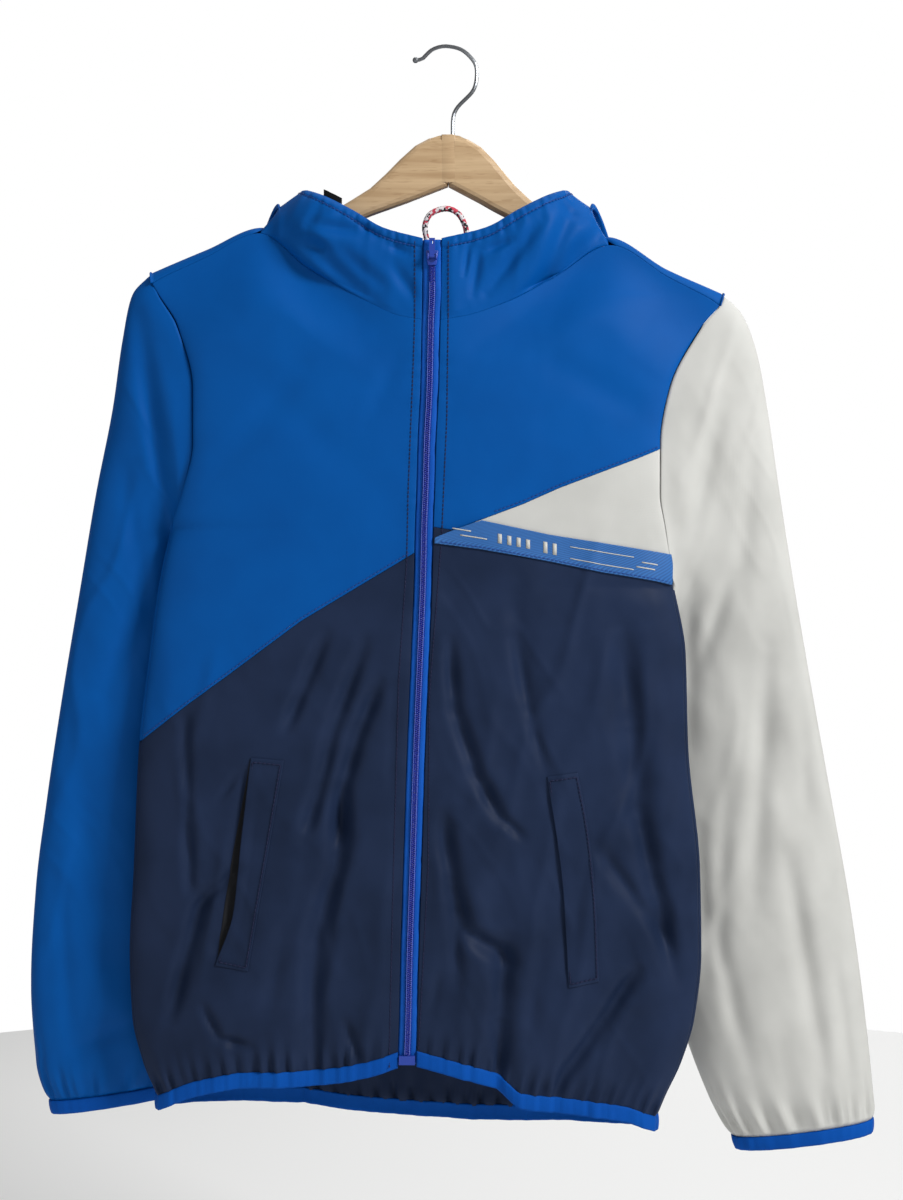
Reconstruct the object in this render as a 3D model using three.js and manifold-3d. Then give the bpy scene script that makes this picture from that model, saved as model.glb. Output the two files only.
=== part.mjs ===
// A hooded windbreaker jacket hanging closed on a wooden hanger, in millimetres, +Z up.
// The origin is the inside of the hook's top, where it hangs. +X is the viewer's right, -Y the front.
import * as THREE from "three";
import { mergeVertices } from "three/addons/utils/BufferGeometryUtils.js";
import Module from "manifold-3d";

const wasm = await Module();
wasm.setup();

// Driving sizes
const CLOTH = 1.8; // wall of a panel, with its turned seams
const HOOD_CLOTH = 1.6;
const SEAM_GAP = 0.35; // between pieces that are sewn together
const LAYER_GAP = 0.3; // under what lies on a panel
const FRONT_DEPTH = 27; // the front stands this far before the hanger's plane
const BACK_DEPTH = 22;
const NECK_BACK_DEPTH = 17;
const SHOULDER_ROUND = 11;
const SIDE_ROUND = 8;
const ARMHOLE_DEPTH = 16;
const ZIP_HALF = 7; // from the zip's middle to the folded edge of each front
const BINDING = 10.5; // height of the elastic binding at hem and cuffs
const BINDING_WALL = 2.4;
const SECTION_POWER = 2.4; // 2 is an ellipse, more is flatter with rounder ends
const WRAP = 0.06; // share of the back's columns that turns round the side
const TOP_WRAP = 0.035; // share of its rows that turns over the shoulder
const TAPE_WALL = 1;
const WELT_WALL = 1.5;
const HOOK_WIRE = 3;
const CORD = 4.6;
const WOOD = 13;
const FACET_PLAY = 0.06; // faces flatter than this to each other are joined

const BLUE = 0x0a55a8;
const NAVY = 0x24324f;
const WHITE = 0xd2d2cd;
const TAPE_BLUE = 0x1d5a9e;
const WOOD_COLOUR = 0xc4a57e;

// Outline of the body from the front. right and left are the wearer's; zip is the zip's middle.
const OUTLINE = [
  { z: -130, right: -226, left: 212, zip: -10 },
  { z: -173, right: -226, left: 212, zip: -11 },
  { z: -189, right: -219, left: 211, zip: -11 },
  { z: -214, right: -204, left: 193, zip: -12 },
  { z: -261, right: -192, left: 168, zip: -13 },
  { z: -302, right: -192, left: 161, zip: -15 },
  { z: -340, right: -201, left: 161, zip: -16 },
  { z: -365, right: -210, left: 165, zip: -17 },
  { z: -410, right: -220, left: 173, zip: -18 },
  { z: -461, right: -227, left: 182, zip: -20 },
  { z: -533, right: -235, left: 184, zip: -23 },
  { z: -626, right: -239, left: 193, zip: -26 },
  { z: -690, right: -242, left: 194, zip: -28 },
  { z: -738, right: -240, left: 189, zip: -29 },
  { z: -772, right: -232, left: 179, zip: -30 },
  { z: -800, right: -221, left: 166, zip: -30 },
  { z: -840, right: -210, left: 150, zip: -30 },
];
// Each side by itself: its armhole's top and bottom, and its curves by share from middle to side.
const SIDES = {
  right: {
    sign: -1, shoulder: -173, armpit: -366, corner: 0.6,
    frontTop: [[0, -211], [0.09, -208], [0.22, -196], [0.42, -170], [0.6, -143], [0.8, -162], [1, -181]],
    frontHem: [[0, -771], [0.12, -778], [0.35, -785], [0.6, -787], [0.8, -794], [1, -808]],
    backTop: [[0, -190], [0.2, -186], [0.38, -172], [0.5, -147], [0.55, -140], [0.6, -137], [0.8, -154],
      [1, -172]],
    backHem: [[0, -820], [0.2, -817], [0.45, -810], [0.8, -808], [1, -808]],
  },
  left: {
    sign: 1, shoulder: -189, armpit: -410, corner: 0.59,
    frontTop: [[0, -211], [0.09, -208], [0.22, -198], [0.4, -176], [0.59, -152], [0.8, -177], [1, -198]],
    frontHem: [[0, -770], [0.14, -778], [0.3, -788], [0.42, -802], [0.6, -806], [0.85, -814], [1, -824]],
    backTop: [[0, -190], [0.2, -187], [0.38, -176], [0.49, -154], [0.54, -147], [0.59, -144], [0.8, -169],
      [1, -188]],
    backHem: [[0, -820], [0.3, -824], [0.7, -824], [1, -824]],
  },
};
// Sleeves: the outer and the inner edge from the armhole to the gathers, seen from the front.
const SLEEVES = {
  right: [
    { at: 0, outX: -226, outZ: -173, inX: -210, inZ: -366, outY: 0, inY: 0, deep: 16 },
    { at: 0.06, outX: -240, outZ: -188, inX: -208, inZ: -382, outY: 2, inY: 12, deep: 20 },
    { at: 0.14, outX: -248, outZ: -222, inX: -203, inZ: -402, outY: 5, inY: 26, deep: 23 },
    { at: 0.24, outX: -256, outZ: -272, inX: -196, inZ: -428, outY: 9, inY: 38, deep: 24 },
    { at: 0.36, outX: -270, outZ: -338, inX: -188, inZ: -465, outY: 14, inY: 46, deep: 24 },
    { at: 0.48, outX: -284, outZ: -415, inX: -181, inZ: -515, outY: 19, inY: 50, deep: 24 },
    { at: 0.6, outX: -298, outZ: -494, inX: -176, inZ: -570, outY: 23, inY: 52, deep: 24 },
    { at: 0.72, outX: -311, outZ: -575, inX: -174, inZ: -632, outY: 27, inY: 53, deep: 24 },
    { at: 0.84, outX: -321, outZ: -650, inX: -176, inZ: -690, outY: 31, inY: 53, deep: 24 },
    { at: 0.93, outX: -325, outZ: -725, inX: -182, inZ: -742, outY: 34, inY: 53, deep: 25 },
    { at: 0.975, outX: -321, outZ: -782, inX: -191, inZ: -777, outY: 36, inY: 52, deep: 24 },
    { at: 1, outX: -311, outZ: -811, inX: -202, inZ: -797, outY: 36, inY: 50, deep: 19 },
  ],
  left: [
    { at: 0, outX: 212, outZ: -189, inX: 173, inZ: -410, outY: 0, inY: 0, deep: 16 },
    { at: 0.06, outX: 225, outZ: -202, inX: 172, inZ: -427, outY: 2, inY: 12, deep: 20 },
    { at: 0.14, outX: 236, outZ: -228, inX: 169, inZ: -446, outY: 5, inY: 26, deep: 23 },
    { at: 0.24, outX: 245, outZ: -270, inX: 165, inZ: -470, outY: 9, inY: 38, deep: 24 },
    { at: 0.36, outX: 256, outZ: -338, inX: 160, inZ: -503, outY: 14, inY: 46, deep: 24 },
    { at: 0.48, outX: 269, outZ: -415, inX: 156, inZ: -548, outY: 19, inY: 49, deep: 24 },
    { at: 0.6, outX: 284, outZ: -498, inX: 156, inZ: -600, outY: 23, inY: 50, deep: 24 },
    { at: 0.72, outX: 299, outZ: -578, inX: 162, inZ: -656, outY: 26, inY: 50, deep: 24 },
    { at: 0.84, outX: 314, outZ: -660, inX: 173, inZ: -714, outY: 29, inY: 49, deep: 24 },
    { at: 0.93, outX: 325, outZ: -738, inX: 188, inZ: -764, outY: 31, inY: 47, deep: 25 },
    { at: 0.975, outX: 331, outZ: -796, inX: 206, inZ: -811, outY: 32, inY: 45, deep: 24 },
    { at: 1, outX: 332, outZ: -824, inX: 224, inZ: -841, outY: 32, inY: 43, deep: 19 },
  ],
};
const CUFFS = {
  right: { outX: 2, outZ: -10.5, inX: -1, inZ: -10.5 },
  left: { outX: -0.5, outZ: -11, inX: 3, inZ: -10.5 },
};
// Hood, half of it from the zip round to the middle of the back: rim is its opening edge, roll the
// highest line over which it turns, both by distance from the middle, y and z; the pouch hangs below.
const HOOD = [
  { at: 0, rim: [7, -31, -151], roll: [7, -30, -185], drop: 0, spread: 0 },
  { at: 0.15, rim: [38, -31, -143], roll: [42, -31, -172], drop: 0, spread: 0 },
  { at: 0.28, rim: [62, -29, -129], roll: [72, -29, -156], drop: 0, spread: 0 },
  { at: 0.38, rim: [82, -24, -118], roll: [96, -25, -143], drop: 0, spread: 0 },
  { at: 0.46, rim: [96, -12, -111], roll: [112, -17, -131], drop: 0, spread: 2 },
  { at: 0.53, rim: [100, 6, -108], roll: [120, 4, -119], drop: 6, spread: 8 },
  { at: 0.61, rim: [97, 32, -118], roll: [122, 24, -119], drop: 46, spread: 24 },
  { at: 0.71, rim: [82, 54, -138], roll: [104, 31, -140], drop: 120, spread: 30 },
  { at: 0.84, rim: [50, 68, -158], roll: [62, 33, -158], drop: 185, spread: 22 },
  { at: 1, rim: [0, 74, -168], roll: [0, 34, -166], drop: 215, spread: 0 },
];
const HOOD_MIDDLE = -9;
// Folds as soft troughs: from and to are seen from the front, size is the depth, wide the half width.
const FRONT_FOLDS = [
  { from: [-57, -495], to: [-90, -650], size: 3.5, wide: 13 },
  { from: [-100, -640], to: [-175, -745], size: 4, wide: 12 },
  { from: [-150, -560], to: [-205, -735], size: 2.5, wide: 10 },
  { from: [-60, -690], to: [-120, -760], size: 3, wide: 10 },
  { from: [-150, -250], to: [-60, -330], size: 2.5, wide: 18 },
  { from: [-178, -330], to: [-110, -250], size: 3, wide: 14 },
  { from: [6, -395], to: [55, -600], size: 3.5, wide: 13 },
  { from: [144, -495], to: [168, -690], size: 3, wide: 11 },
  { from: [55, -770], to: [140, -680], size: 3.5, wide: 12 },
  { from: [20, -620], to: [70, -745], size: 3, wide: 12 },
  { from: [140, -360], to: [60, -460], size: 2.5, wide: 14 },
  { from: [150, -280], to: [70, -240], size: 3, wide: 14 },
];
const BACK_FOLDS = [
  { from: [-160, -300], to: [-120, -560], size: 3, wide: 16 },
  { from: [120, -330], to: [80, -600], size: 3, wide: 16 },
  { from: [-60, -420], to: [-150, -720], size: 3.5, wide: 15 },
  { from: [20, -440], to: [100, -740], size: 3.5, wide: 15 },
];
const SLEEVE_FOLDS = {
  right: [
    { from: [-234, -205], to: [-212, -350], size: 3.5, wide: 9 },
    { from: [-215, -410], to: [-262, -490], size: 4, wide: 12 },
    { from: [-245, -748], to: [-295, -775], size: 3.5, wide: 8 },
    { from: [-290, -520], to: [-262, -700], size: 3, wide: 14 },
  ],
  left: [
    { from: [215, -230], to: [200, -380], size: 3, wide: 10 },
    { from: [215, -430], to: [250, -640], size: 3, wide: 14 },
    { from: [270, -480], to: [300, -740], size: 2.5, wide: 13 },
  ],
};
// Lines between the coloured pieces of the fronts, seen from the front.
const RIGHT_SEAM = [[0, -370], [-25, -386], [-110, -437], [-168, -480], [-193, -498], [-226, -523],
  [-260, -548]];
const WEDGE_TOP = [[-20, -378], [25, -361], [57, -349], [84, -337], [142, -315], [200, -291]];
const TAPE_TOP = [[-20, -352], [25, -361], [77, -372], [116, -378], [160, -385], [200, -392]];
const TAPE_BOTTOM = [[-20, -377], [26, -383], [77, -392], [116, -400], [154, -406], [200, -415]];
const POCKETS = {
  right: { welt: [[-147, -539], [-122, -541], [-149, -699], [-174, -695], [-160, -655], [-154, -600]],
    bag: [[-156, -532], [-70, -528], [-76, -720], [-184, -706]],
    slit: [[-149, -556], [-156, -600], [-157, -622], [-164, -640], [-173, -680], [-164, -610]] },
  left: { welt: [[75, -553], [98, -550], [107, -600], [112, -655], [114, -707], [91, -711], [87, -640]],
    bag: [[50, -528], [104, -540], [120, -718], [28, -722]] },
};
// Gathers in each elastic edge.
const HEM_WAVES = { front: 17, back: 28, size: 1.7 };
const CUFF_WAVES = { count: 18, size: 1.5 };
const RIM_WAVES = { count: 7, size: 1.1 };
// Hook's middle line, and the hanger's top and bottom edges, half of each.
const HOOK_LINE = [[4.2, -82], [4.3, -66], [5, -51], [8, -45], [20, -32], [22.5, -23], [22, -13],
  [17.6, -6.4],
  [11, -1], [2.5, 1.4], [-4, 1.5], [-11, -0.8], [-15, -4], [-19, -8], [-24, -9]];
const HANGER = {
  crown: -66.8,
  apex: -106,
  right: {
    visible: [[-6, -67.6], [-20, -71.5], [-38, -87], [-56, -105], [-78, -119], [-100, -132], [-120, -142.5]],
    inside: [-148, -168, -188, -206],
    bottom: [[-30, -118], [-63, -130], [-110, -150], [-160, -173], [-195, -189], [-208, -187]],
  },
  left: {
    visible: [[8, -67.6], [22, -72.5], [38, -88], [50, -103], [66, -118], [84, -132], [106, -148]],
    inside: [136, 155, 174, 192],
    bottom: [[24, -118], [40, -127], [90, -153], [140, -180], [182, -203], [195, -203]],
  },
};
const MITRE_X = 1;
const CROWN = {
  right: [[1, -67.5], [-6, -68], [-12, -70], [-12, -104], [1, -104]],
  left: [[1, -67.5], [9, -68], [15, -71], [15, -104], [1, -104]],
};
const LOOP_LINE = [
  [-5.5, 12.5, -197], [-5.5, 11.4, -190], [-6, 11, -185], [-9, 10.6, -174], [-13, 10, -160], [-15.5, 7, -145],
  [-17, 5, -135], [-14, 4, -127], [-8, 3.5, -123], [0, 3.5, -121.5], [7, 4, -124], [12, 5, -130],
  [15, 7, -140],
  [14, 10, -157], [9, 10.6, -174], [5, 11, -185], [4.5, 11.4, -190], [4.5, 12.5, -197],
];

// Number helpers
const clamp = (v, low, high) => Math.min(high, Math.max(low, v));
const mix = (a, b, f) => a + (b - a) * f;
const smooth = (f) => { const c = clamp(f, 0, 1); return c * c * (3 - 2 * c); };
const curve = (share, power = SECTION_POWER) => (1 - clamp(share, 0, 1) ** power) ** (1 / power);

// Value of a table at a place, on a smooth line through its rows that never overshoots.
function read(rows, place, key = 1, by = 0) {
  const up = rows[rows.length - 1][by] > rows[0][by] ? 1 : -1;
  let i = 0;
  while (i < rows.length - 2 && (place - rows[i + 1][by]) * up > 0) i++;
  const gap = (k) => rows[k + 1][by] - rows[k][by];
  const slope = (k) => (rows[k + 1][key] - rows[k][key]) / gap(k);
  const tangent = (k) => {
    if (k === 0) return slope(0);
    if (k === rows.length - 1) return slope(k - 1);
    const [a, b] = [slope(k - 1), slope(k)];
    return a * b <= 0 ? 0 : (2 * a * b) / (a + b);
  };
  const f = clamp((place - rows[i][by]) / gap(i), 0, 1);
  const [d0, d1] = [tangent(i) * gap(i), tangent(i + 1) * gap(i)];
  const [p0, p1] = [rows[i][key], rows[i + 1][key]];
  return p0 + f * (d0 + f * (3 * (p1 - p0) - 2 * d0 - d1 + f * (2 * (p0 - p1) + d0 + d1)));
}
const outline = (z, key) => read(OUTLINE, z, key, "z");
const zipX = (z) => outline(z, "zip");

// Depth of the folds at a place seen from the front.
function folds(list, x, z) {
  let sum = 0;
  for (const { from, to, size, wide } of list) {
    const [dx, dz] = [to[0] - from[0], to[1] - from[1]];
    const along = clamp(((x - from[0]) * dx + (z - from[1]) * dz) / (dx * dx + dz * dz), 0, 1);
    const away = Math.hypot(x - from[0] - along * dx, z - from[1] - along * dz);
    const ends = Math.sin(Math.PI * clamp(0.12 + along * 0.76, 0, 1));
    sum += size * ends * Math.exp(-((away / wide) ** 2)) * (1 - 0.35 * (away / wide) ** 2);
  }
  return sum;
}
// Gathers that fade out away from an elastic edge.
const gather = (share, waves, away, reach) =>
  Math.cos(2 * Math.PI * waves * share) * Math.exp(-((away / reach) ** 2));

// Half depth of the armhole's loop at a height, and the round of the side seam below it.
function armholeDepth(side, z) {
  const { shoulder, armpit } = SIDES[side];
  const share = (shoulder - z) / (shoulder - armpit);
  return share <= 0 || share >= 1 ? 0 : ARMHOLE_DEPTH * curve(Math.abs(2 * share - 1));
}
const sideRound = (side, z) => SIDE_ROUND * smooth((SIDES[side].armpit + 12 - z) / 30);

// Front of the body: s runs from the zip to the side, t from the top to the hem.
function frontPoint(side, s, t) {
  const { sign, frontTop, frontHem, corner } = SIDES[side];
  const top = read(frontTop, s);
  const bottom = read(frontHem, s) + BINDING + SEAM_GAP;
  const z = mix(top, bottom, t);
  const round = sideRound(side, z);
  const inner = zipX(z) + sign * ZIP_HALF;
  const outer = outline(z, side) - sign * round * 0.3;
  const x = mix(inner, outer, s);
  const edge = Math.hypot(armholeDepth(side, z), round * 0.7);
  const full = edge + (FRONT_DEPTH - edge) * curve(s);
  const shoulder = SHOULDER_ROUND * 0.85;
  const topY = mix(FRONT_DEPTH, shoulder, smooth(s / corner));
  const rise = smooth(t / 0.1);
  const hemAway = (1 - t) * (top - bottom);
  let out = mix(topY, full, rise) - folds(FRONT_FOLDS, x, z) * smooth(t / 0.1) * smooth((1 - s) / 0.15)
    * smooth(s / 0.1);
  out += HEM_WAVES.size * gather(s, HEM_WAVES.front, hemAway, 26) * smooth(s / 0.06);
  return [x, -out, z];
}
// Back of the body from one side's middle line to its side seam. m runs from the middle to the side.
function backPoint(side, m, t) {
  const { sign, backTop, backHem, corner, shoulder } = SIDES[side];
  const main = clamp(m / (1 - WRAP), 0, 1);
  const turnSide = clamp((m - 1 + WRAP) / WRAP, 0, 1);
  const down = clamp((t - TOP_WRAP) / (1 - TOP_WRAP), 0, 1);
  const turnTop = 1 - clamp(t / TOP_WRAP, 0, 1);
  const top = read(backTop, main);
  const bottom = read(backHem, main) + BINDING + SEAM_GAP;
  let z = mix(top, bottom, down);
  const inShoulder = smooth((main - corner + 0.05) / 0.1);
  const topRound = mix(0.8, SHOULDER_ROUND, inShoulder);
  const edge = armholeDepth(side, z);
  let x = mix(zipX(z), outline(z, side), main);
  const full = edge + (BACK_DEPTH - edge) * curve(main);
  const topY = mix(NECK_BACK_DEPTH, 0, smooth((main - corner + 0.1) / 0.1));
  const rise = curve(1 - clamp(down / 0.075, 0, 1));
  let y = mix(topY, full, rise) - folds(BACK_FOLDS, x, z) * smooth(down / 0.1) * smooth((1 - main) / 0.15);
  y += HEM_WAVES.size * gather(main, HEM_WAVES.back / 2, (1 - down) * (top - bottom), 26)
    * smooth((1 - m) / 0.05);
  const overTop = turnTop * 1.02;
  y -= topRound * Math.sin(overTop) + (topRound > 2 ? 0 : turnTop * 1.2);
  z -= topRound * (1 - Math.cos(overTop));
  const r = mix(1, SIDE_ROUND, smooth((SIDES[side].armpit + 12 - z) / 30));
  const overSide = turnSide * 0.78;
  x -= sign * r * (1 - Math.cos(overSide));
  y -= r * Math.sin(overSide);
  return [x, y, z];
}
// Sleeve: at runs from the armhole to the cuff, turn goes once round from the outer edge over the front.
function sleevePoint(side, at, turn) {
  const rows = SLEEVES[side];
  const value = (key, place) => read(rows, place, key, "at");
  const angle = turn * 2 * Math.PI;
  const cosine = Math.cos(angle);
  const sine = Math.sin(angle);
  const section = (place) => {
    const across = Math.sign(cosine) * Math.abs(cosine) ** (2 / 2.2);
    const round = Math.sign(sine) * Math.abs(sine) ** (2 / 2.3);
    const f = (1 - across) / 2;
    return [
      mix(value("outX", place), value("inX", place), f),
      mix(value("outY", place), value("inY", place), f) - value("deep", place) * round,
      mix(value("outZ", place), value("inZ", place), f),
    ];
  };
  const point = section(at);
  const fade = Math.max(0, 1 - at / 0.2) ** 2;
  if (fade > 0) {
    const { shoulder, armpit, sign } = SIDES[side];
    const first = section(0);
    const z = mix(shoulder, armpit, (1 - cosine) / 2);
    const loop = [outline(z, side), -Math.sign(sine) * armholeDepth(side, z), z];
    for (let k = 0; k < 3; k++) point[k] += (loop[k] - first[k]) * fade;
    point[0] += sign * 0.8 * fade;
    point[2] -= 0.8 * fade * smooth(-cosine);
  }
  const facing = Math.sign(sine || 1) * smooth(Math.abs(sine) * 2);
  const reach = (1 - at) * 650;
  const size = folds(SLEEVE_FOLDS[side], point[0], point[2]) * smooth(at / 0.06) * smooth((1 - at) / 0.05);
  const wave = CUFF_WAVES.size * gather(turn, CUFF_WAVES.count, reach, 22);
  point[1] += facing * size - Math.sign(sine) * smooth(Math.abs(sine) * 3) * wave;
  point[0] += SIDES[side].sign * cosine * wave;
  return point;
}
function cuffPoint(side, f, turn) {
  const point = sleevePoint(side, 1, turn);
  const move = CUFFS[side];
  const share = (1 - Math.cos(turn * 2 * Math.PI)) / 2;
  const g = (SEAM_GAP + f * (BINDING - SEAM_GAP)) / BINDING;
  point[0] += mix(move.outX, move.inX, share) * g;
  point[2] += mix(move.outZ, move.inZ, share) * g;
  return point;
}
// Where the hood is sewn on: along the front's neck edge, then along the back's.
function neckPoint(side, u) {
  const { corner } = SIDES[side];
  const half = 0.5;
  const front = u < half;
  const p = front ? frontPoint(side, (u / half) * corner, 0)
    : backPoint(side, corner * (1 - (u - half) / half) * (1 - WRAP), 0);
  return [p[0], p[1], p[2] + SEAM_GAP];
}
// Hood half: u runs round the neck from the zip to the middle of the back, v from the seam to the rim.
function hoodPoint(side, u, v) {
  const sign = SIDES[side].sign;
  const at = (key, index) => {
    const rows = HOOD.map((row) => [row.at, index === undefined ? row[key] : row[key][index]]);
    return read(rows, u);
  };
  const spot = (key) => [HOOD_MIDDLE + sign * at(key, 0) - (u < 0.2 ? (1 - u / 0.2) * 2 : 0), at(key, 1),
    at(key, 2)];
  const rim = spot("rim");
  const roll = spot("roll");
  const [drop, spread] = [at("drop"), at("spread")];
  const low = (share, more) => [
    mix(roll[0], rim[0], share) + sign * spread, mix(roll[1], rim[1], share) + more,
    mix(roll[2], rim[2], share) - drop,
  ];
  const seam = neckPoint(side, u);
  const stops = [seam, roll, low(0.25, 3), low(0.8, 0), rim];
  const path = new THREE.CatmullRomCurve3(stops.map((p) => new THREE.Vector3(...p)), false, "catmullrom",
    0.5);
  const point = path.getPoint(v).toArray();
  const wave = RIM_WAVES.size * Math.cos(2 * Math.PI * RIM_WAVES.count * 2 * u) * smooth((v - 0.7) / 0.25)
    * smooth((0.56 - u) / 0.06);
  point[1] += wave * smooth(u / 0.05);
  return point;
}

// A closed wall: rows of points on its outer face, each with its own count, and a thickness inwards.
// Positive lift moves the outer face out.
function wall(rows, thick, { lift = 0, ring = false } = {}) {
  const sub = (a, b) => [a[0] - b[0], a[1] - b[1], a[2] - b[2]];
  const near = (row, share) => {
    const n = ring ? row.length : row.length - 1;
    const at = share * n;
    const i = Math.floor(at + 1e-9);
    const f = at - i;
    const a = row[ring ? i % row.length : Math.min(i, n)];
    const b = row[ring ? (i + 1) % row.length : Math.min(i + 1, n)];
    return [0, 1, 2].map((k) => mix(a[k], b[k], f));
  };
  const verts = [];
  const index = rows.map((row, r) => row.map((p, c) => {
    const n = ring ? row.length : row.length - 1;
    const before = ring ? row[(c + n - 1) % n] : row[Math.max(c - 1, 0)];
    const after = ring ? row[(c + 1) % n] : row[Math.min(c + 1, n)];
    const above = near(rows[Math.max(r - 1, 0)], c / n);
    const below = near(rows[Math.min(r + 1, rows.length - 1)], c / n);
    const across = sub(after, before);
    const down = sub(below, above);
    const normal = new THREE.Vector3(...down).cross(new THREE.Vector3(...across)).normalize();
    const place = new THREE.Vector3(...p);
    verts.push(...place.clone().addScaledVector(normal, lift).toArray());
    verts.push(...place.clone().addScaledVector(normal, lift - thick).toArray());
    return verts.length / 3 - 2;
  }));
  const tris = [];
  const quadStrip = (a, b, shift, flip) => {
    const [na, nb] = [a.length - 1, b.length - 1];
    let [i, j] = [0, 0];
    while (i < na || j < nb) {
      const useA = j >= nb || (i < na && (i + 1) / na <= (j + 1) / nb + 1e-9);
      const tri = useA ? [a[i], b[j], a[i + 1]] : [a[i], b[j], b[j + 1]];
      if (useA) i++;
      else j++;
      tris.push(...(flip ? [tri[0], tri[2], tri[1]] : tri).map((k) => k + shift));
    }
  };
  const loops = index.map((row) => (ring ? [...row, row[0]] : row));
  for (let r = 0; r + 1 < loops.length; r++) {
    quadStrip(loops[r], loops[r + 1], 0, false);
    quadStrip(loops[r], loops[r + 1], 1, true);
  }
  const rim = (line, flip) => {
    for (let k = 0; k + 1 < line.length; k++) {
      const [a, b] = [line[k], line[k + 1]];
      tris.push(...(flip ? [a, b, a + 1, b, b + 1, a + 1] : [a, a + 1, b, b, a + 1, b + 1]));
    }
  };
  rim(loops[0], true);
  rim(loops[loops.length - 1], false);
  if (!ring) {
    rim(loops.map((l) => l[0]), false);
    rim(loops.map((l) => l[l.length - 1]), true);
  }
  return toSolid(new Float32Array(verts), new Uint32Array(tris));
}
function toSolid(vertProperties, triVerts) {
  const made = new wasm.Manifold(new wasm.Mesh({ numProp: 3, vertProperties, triVerts }));
  if (made.volume() > 0) return made;
  const turned = triVerts.slice();
  for (let i = 0; i < turned.length; i += 3) [turned[i + 1], turned[i + 2]] = [turned[i + 2], turned[i + 1]];
  return new wasm.Manifold(new wasm.Mesh({ numProp: 3, vertProperties, triVerts: turned }));
}
function fromGeometry(geometry) {
  for (const name of ["normal", "uv"]) geometry.deleteAttribute(name);
  const merged = mergeVertices(geometry, 1e-4);
  return toSolid(new Float32Array(merged.attributes.position.array), new Uint32Array(merged.index.array));
}
// Prism along Y of an outline seen from the front.
function prism(points, front = -120, back = 120) {
  const shape = new THREE.Shape(points.map(([x, z]) => new THREE.Vector2(x, z)));
  const solid = new THREE.ExtrudeGeometry(shape, { depth: back - front, bevelEnabled: false });
  solid.rotateX(Math.PI / 2).translate(0, back, 0);
  return fromGeometry(solid);
}
const largest = (solid) => solid.decompose().reduce((a, b) => (a.volume() > b.volume() ? a : b));
const shifted = (line, dz) => line.map(([x, z]) => [x, z + dz]);
// Outline of all that lies above, or below, a line.
const above = (line, dz = 0) => [...shifted(line, dz), [line[line.length - 1][0], 0], [line[0][0], 0]];
const below = (line, dz = 0) => [...shifted(line, dz), [line[line.length - 1][0], -900], [line[0][0], -900]];

// Rows of a grid of points, with a finer count of columns from a given row on.
const steps = (count) => Array.from({ length: count + 1 }, (_, i) => i / count);
const FRONT_ROWS = [0, 0.025, 0.055, 0.095, 0.15, 0.21, 0.27, 0.33, 0.4, 0.48, 0.56, 0.64, 0.72, 0.8, 0.87,
  0.925, 0.965, 1];
const grid = (rowsAt, columnsAt, point) => rowsAt.map((t) => columnsAt(t).map((s) => point(s, t)));
const frontColumns = (t) => steps(t > 0.96 ? HEM_WAVES.front * 2 : 10).map((s) => s ** 0.9);
const frontRows = (side, grow = 0) => grid(FRONT_ROWS, frontColumns,
  (s, t) => frontPoint(side, s * (1 + grow), t));
const BACK_ROWS = [0, TOP_WRAP / 2, TOP_WRAP, 0.039, 0.048, 0.07, 0.105, 0.16, 0.23, 0.3, 0.37, 0.46, 0.56,
  0.66, 0.76, 0.85, 0.92, 0.962, 1];
function backColumns(t) {
  const half = t > 0.96 ? HEM_WAVES.back : 8;
  const side = [1, 1 - WRAP / 2, 1 - WRAP, 1 - WRAP * 1.5];
  const inner = steps(half).map((s) => (1 - s) * (1 - WRAP * 2.2));
  return [...side, ...inner];
}
function backRows() {
  return BACK_ROWS.map((t) => {
    const columns = backColumns(t);
    const one = columns.map((m) => backPoint("right", m, t));
    const two = columns.slice(0, -1).reverse().map((m) => backPoint("left", m, t));
    return [...one, ...two].reverse();
  });
}
const turned = (side, rows) => (SIDES[side].sign > 0 ? rows : rows.map((row) => row.slice().reverse()));

const sheets = {};
for (const side of ["right", "left"]) sheets[side] = turned(side, frontRows(side));
const backSheet = backRows();
const frontPanel = { right: wall(sheets.right, CLOTH), left: wall(sheets.left, CLOTH) };
const backPanel = wall(backSheet, CLOTH);
const grown = (rows, thick, by = SEAM_GAP * 0.9) => wall(rows, thick + 2 * by, { lift: by });
const frontRoom = { right: grown(sheets.right, CLOTH), left: grown(sheets.left, CLOTH) };
const backRoom = grown(backSheet, CLOTH);

// Hood halves, sleeves, cuffs and hem
const HOOD_ROWS = [0, 0.09, 0.17, 0.25, 0.35, 0.44, 0.53, 0.6, 0.67, 0.75, 0.84, 0.92, 1];
const hoodColumns = (v) => [...steps(v > 0.8 ? RIM_WAVES.count * 2 : 7).map((u) => u * 0.5),
  ...steps(7).slice(1).map((u) => 0.5 + u * 0.5)];
const hoodRows = (side) => HOOD_ROWS.map((v) => hoodColumns(v).map((u) => hoodPoint(side, u, v)))
  .map((row) => row.map((p, c) => (c === row.length - 1
    ? [p[0] + SIDES[side].sign * SEAM_GAP / 2, p[1], p[2]] : p)));
const SLEEVE_ROWS = [0, 0.03, 0.065, 0.1, 0.14, 0.19, 0.25, 0.32, 0.4, 0.48, 0.56, 0.64, 0.72, 0.8, 0.87,
  0.925, 0.965, 1];
const around = (count) => steps(count).slice(0, -1);
const sleeveColumns = (at) => around(at > 0.96 ? CUFF_WAVES.count * 2 : 16);
const sleeveRows = (side) => SLEEVE_ROWS.map((at) => sleeveColumns(at).map((turn) => sleevePoint(side, at, turn)));
const cuffRows = (side) => [0, 0.5, 1].map((f) => around(CUFF_WAVES.count * 2).map((turn) =>
  cuffPoint(side, f, turn)));
const ringed = (side, rows) => (SIDES[side].sign < 0 ? rows
  : rows.map((row) => [row[0], ...row.slice(1).reverse()]));
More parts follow.
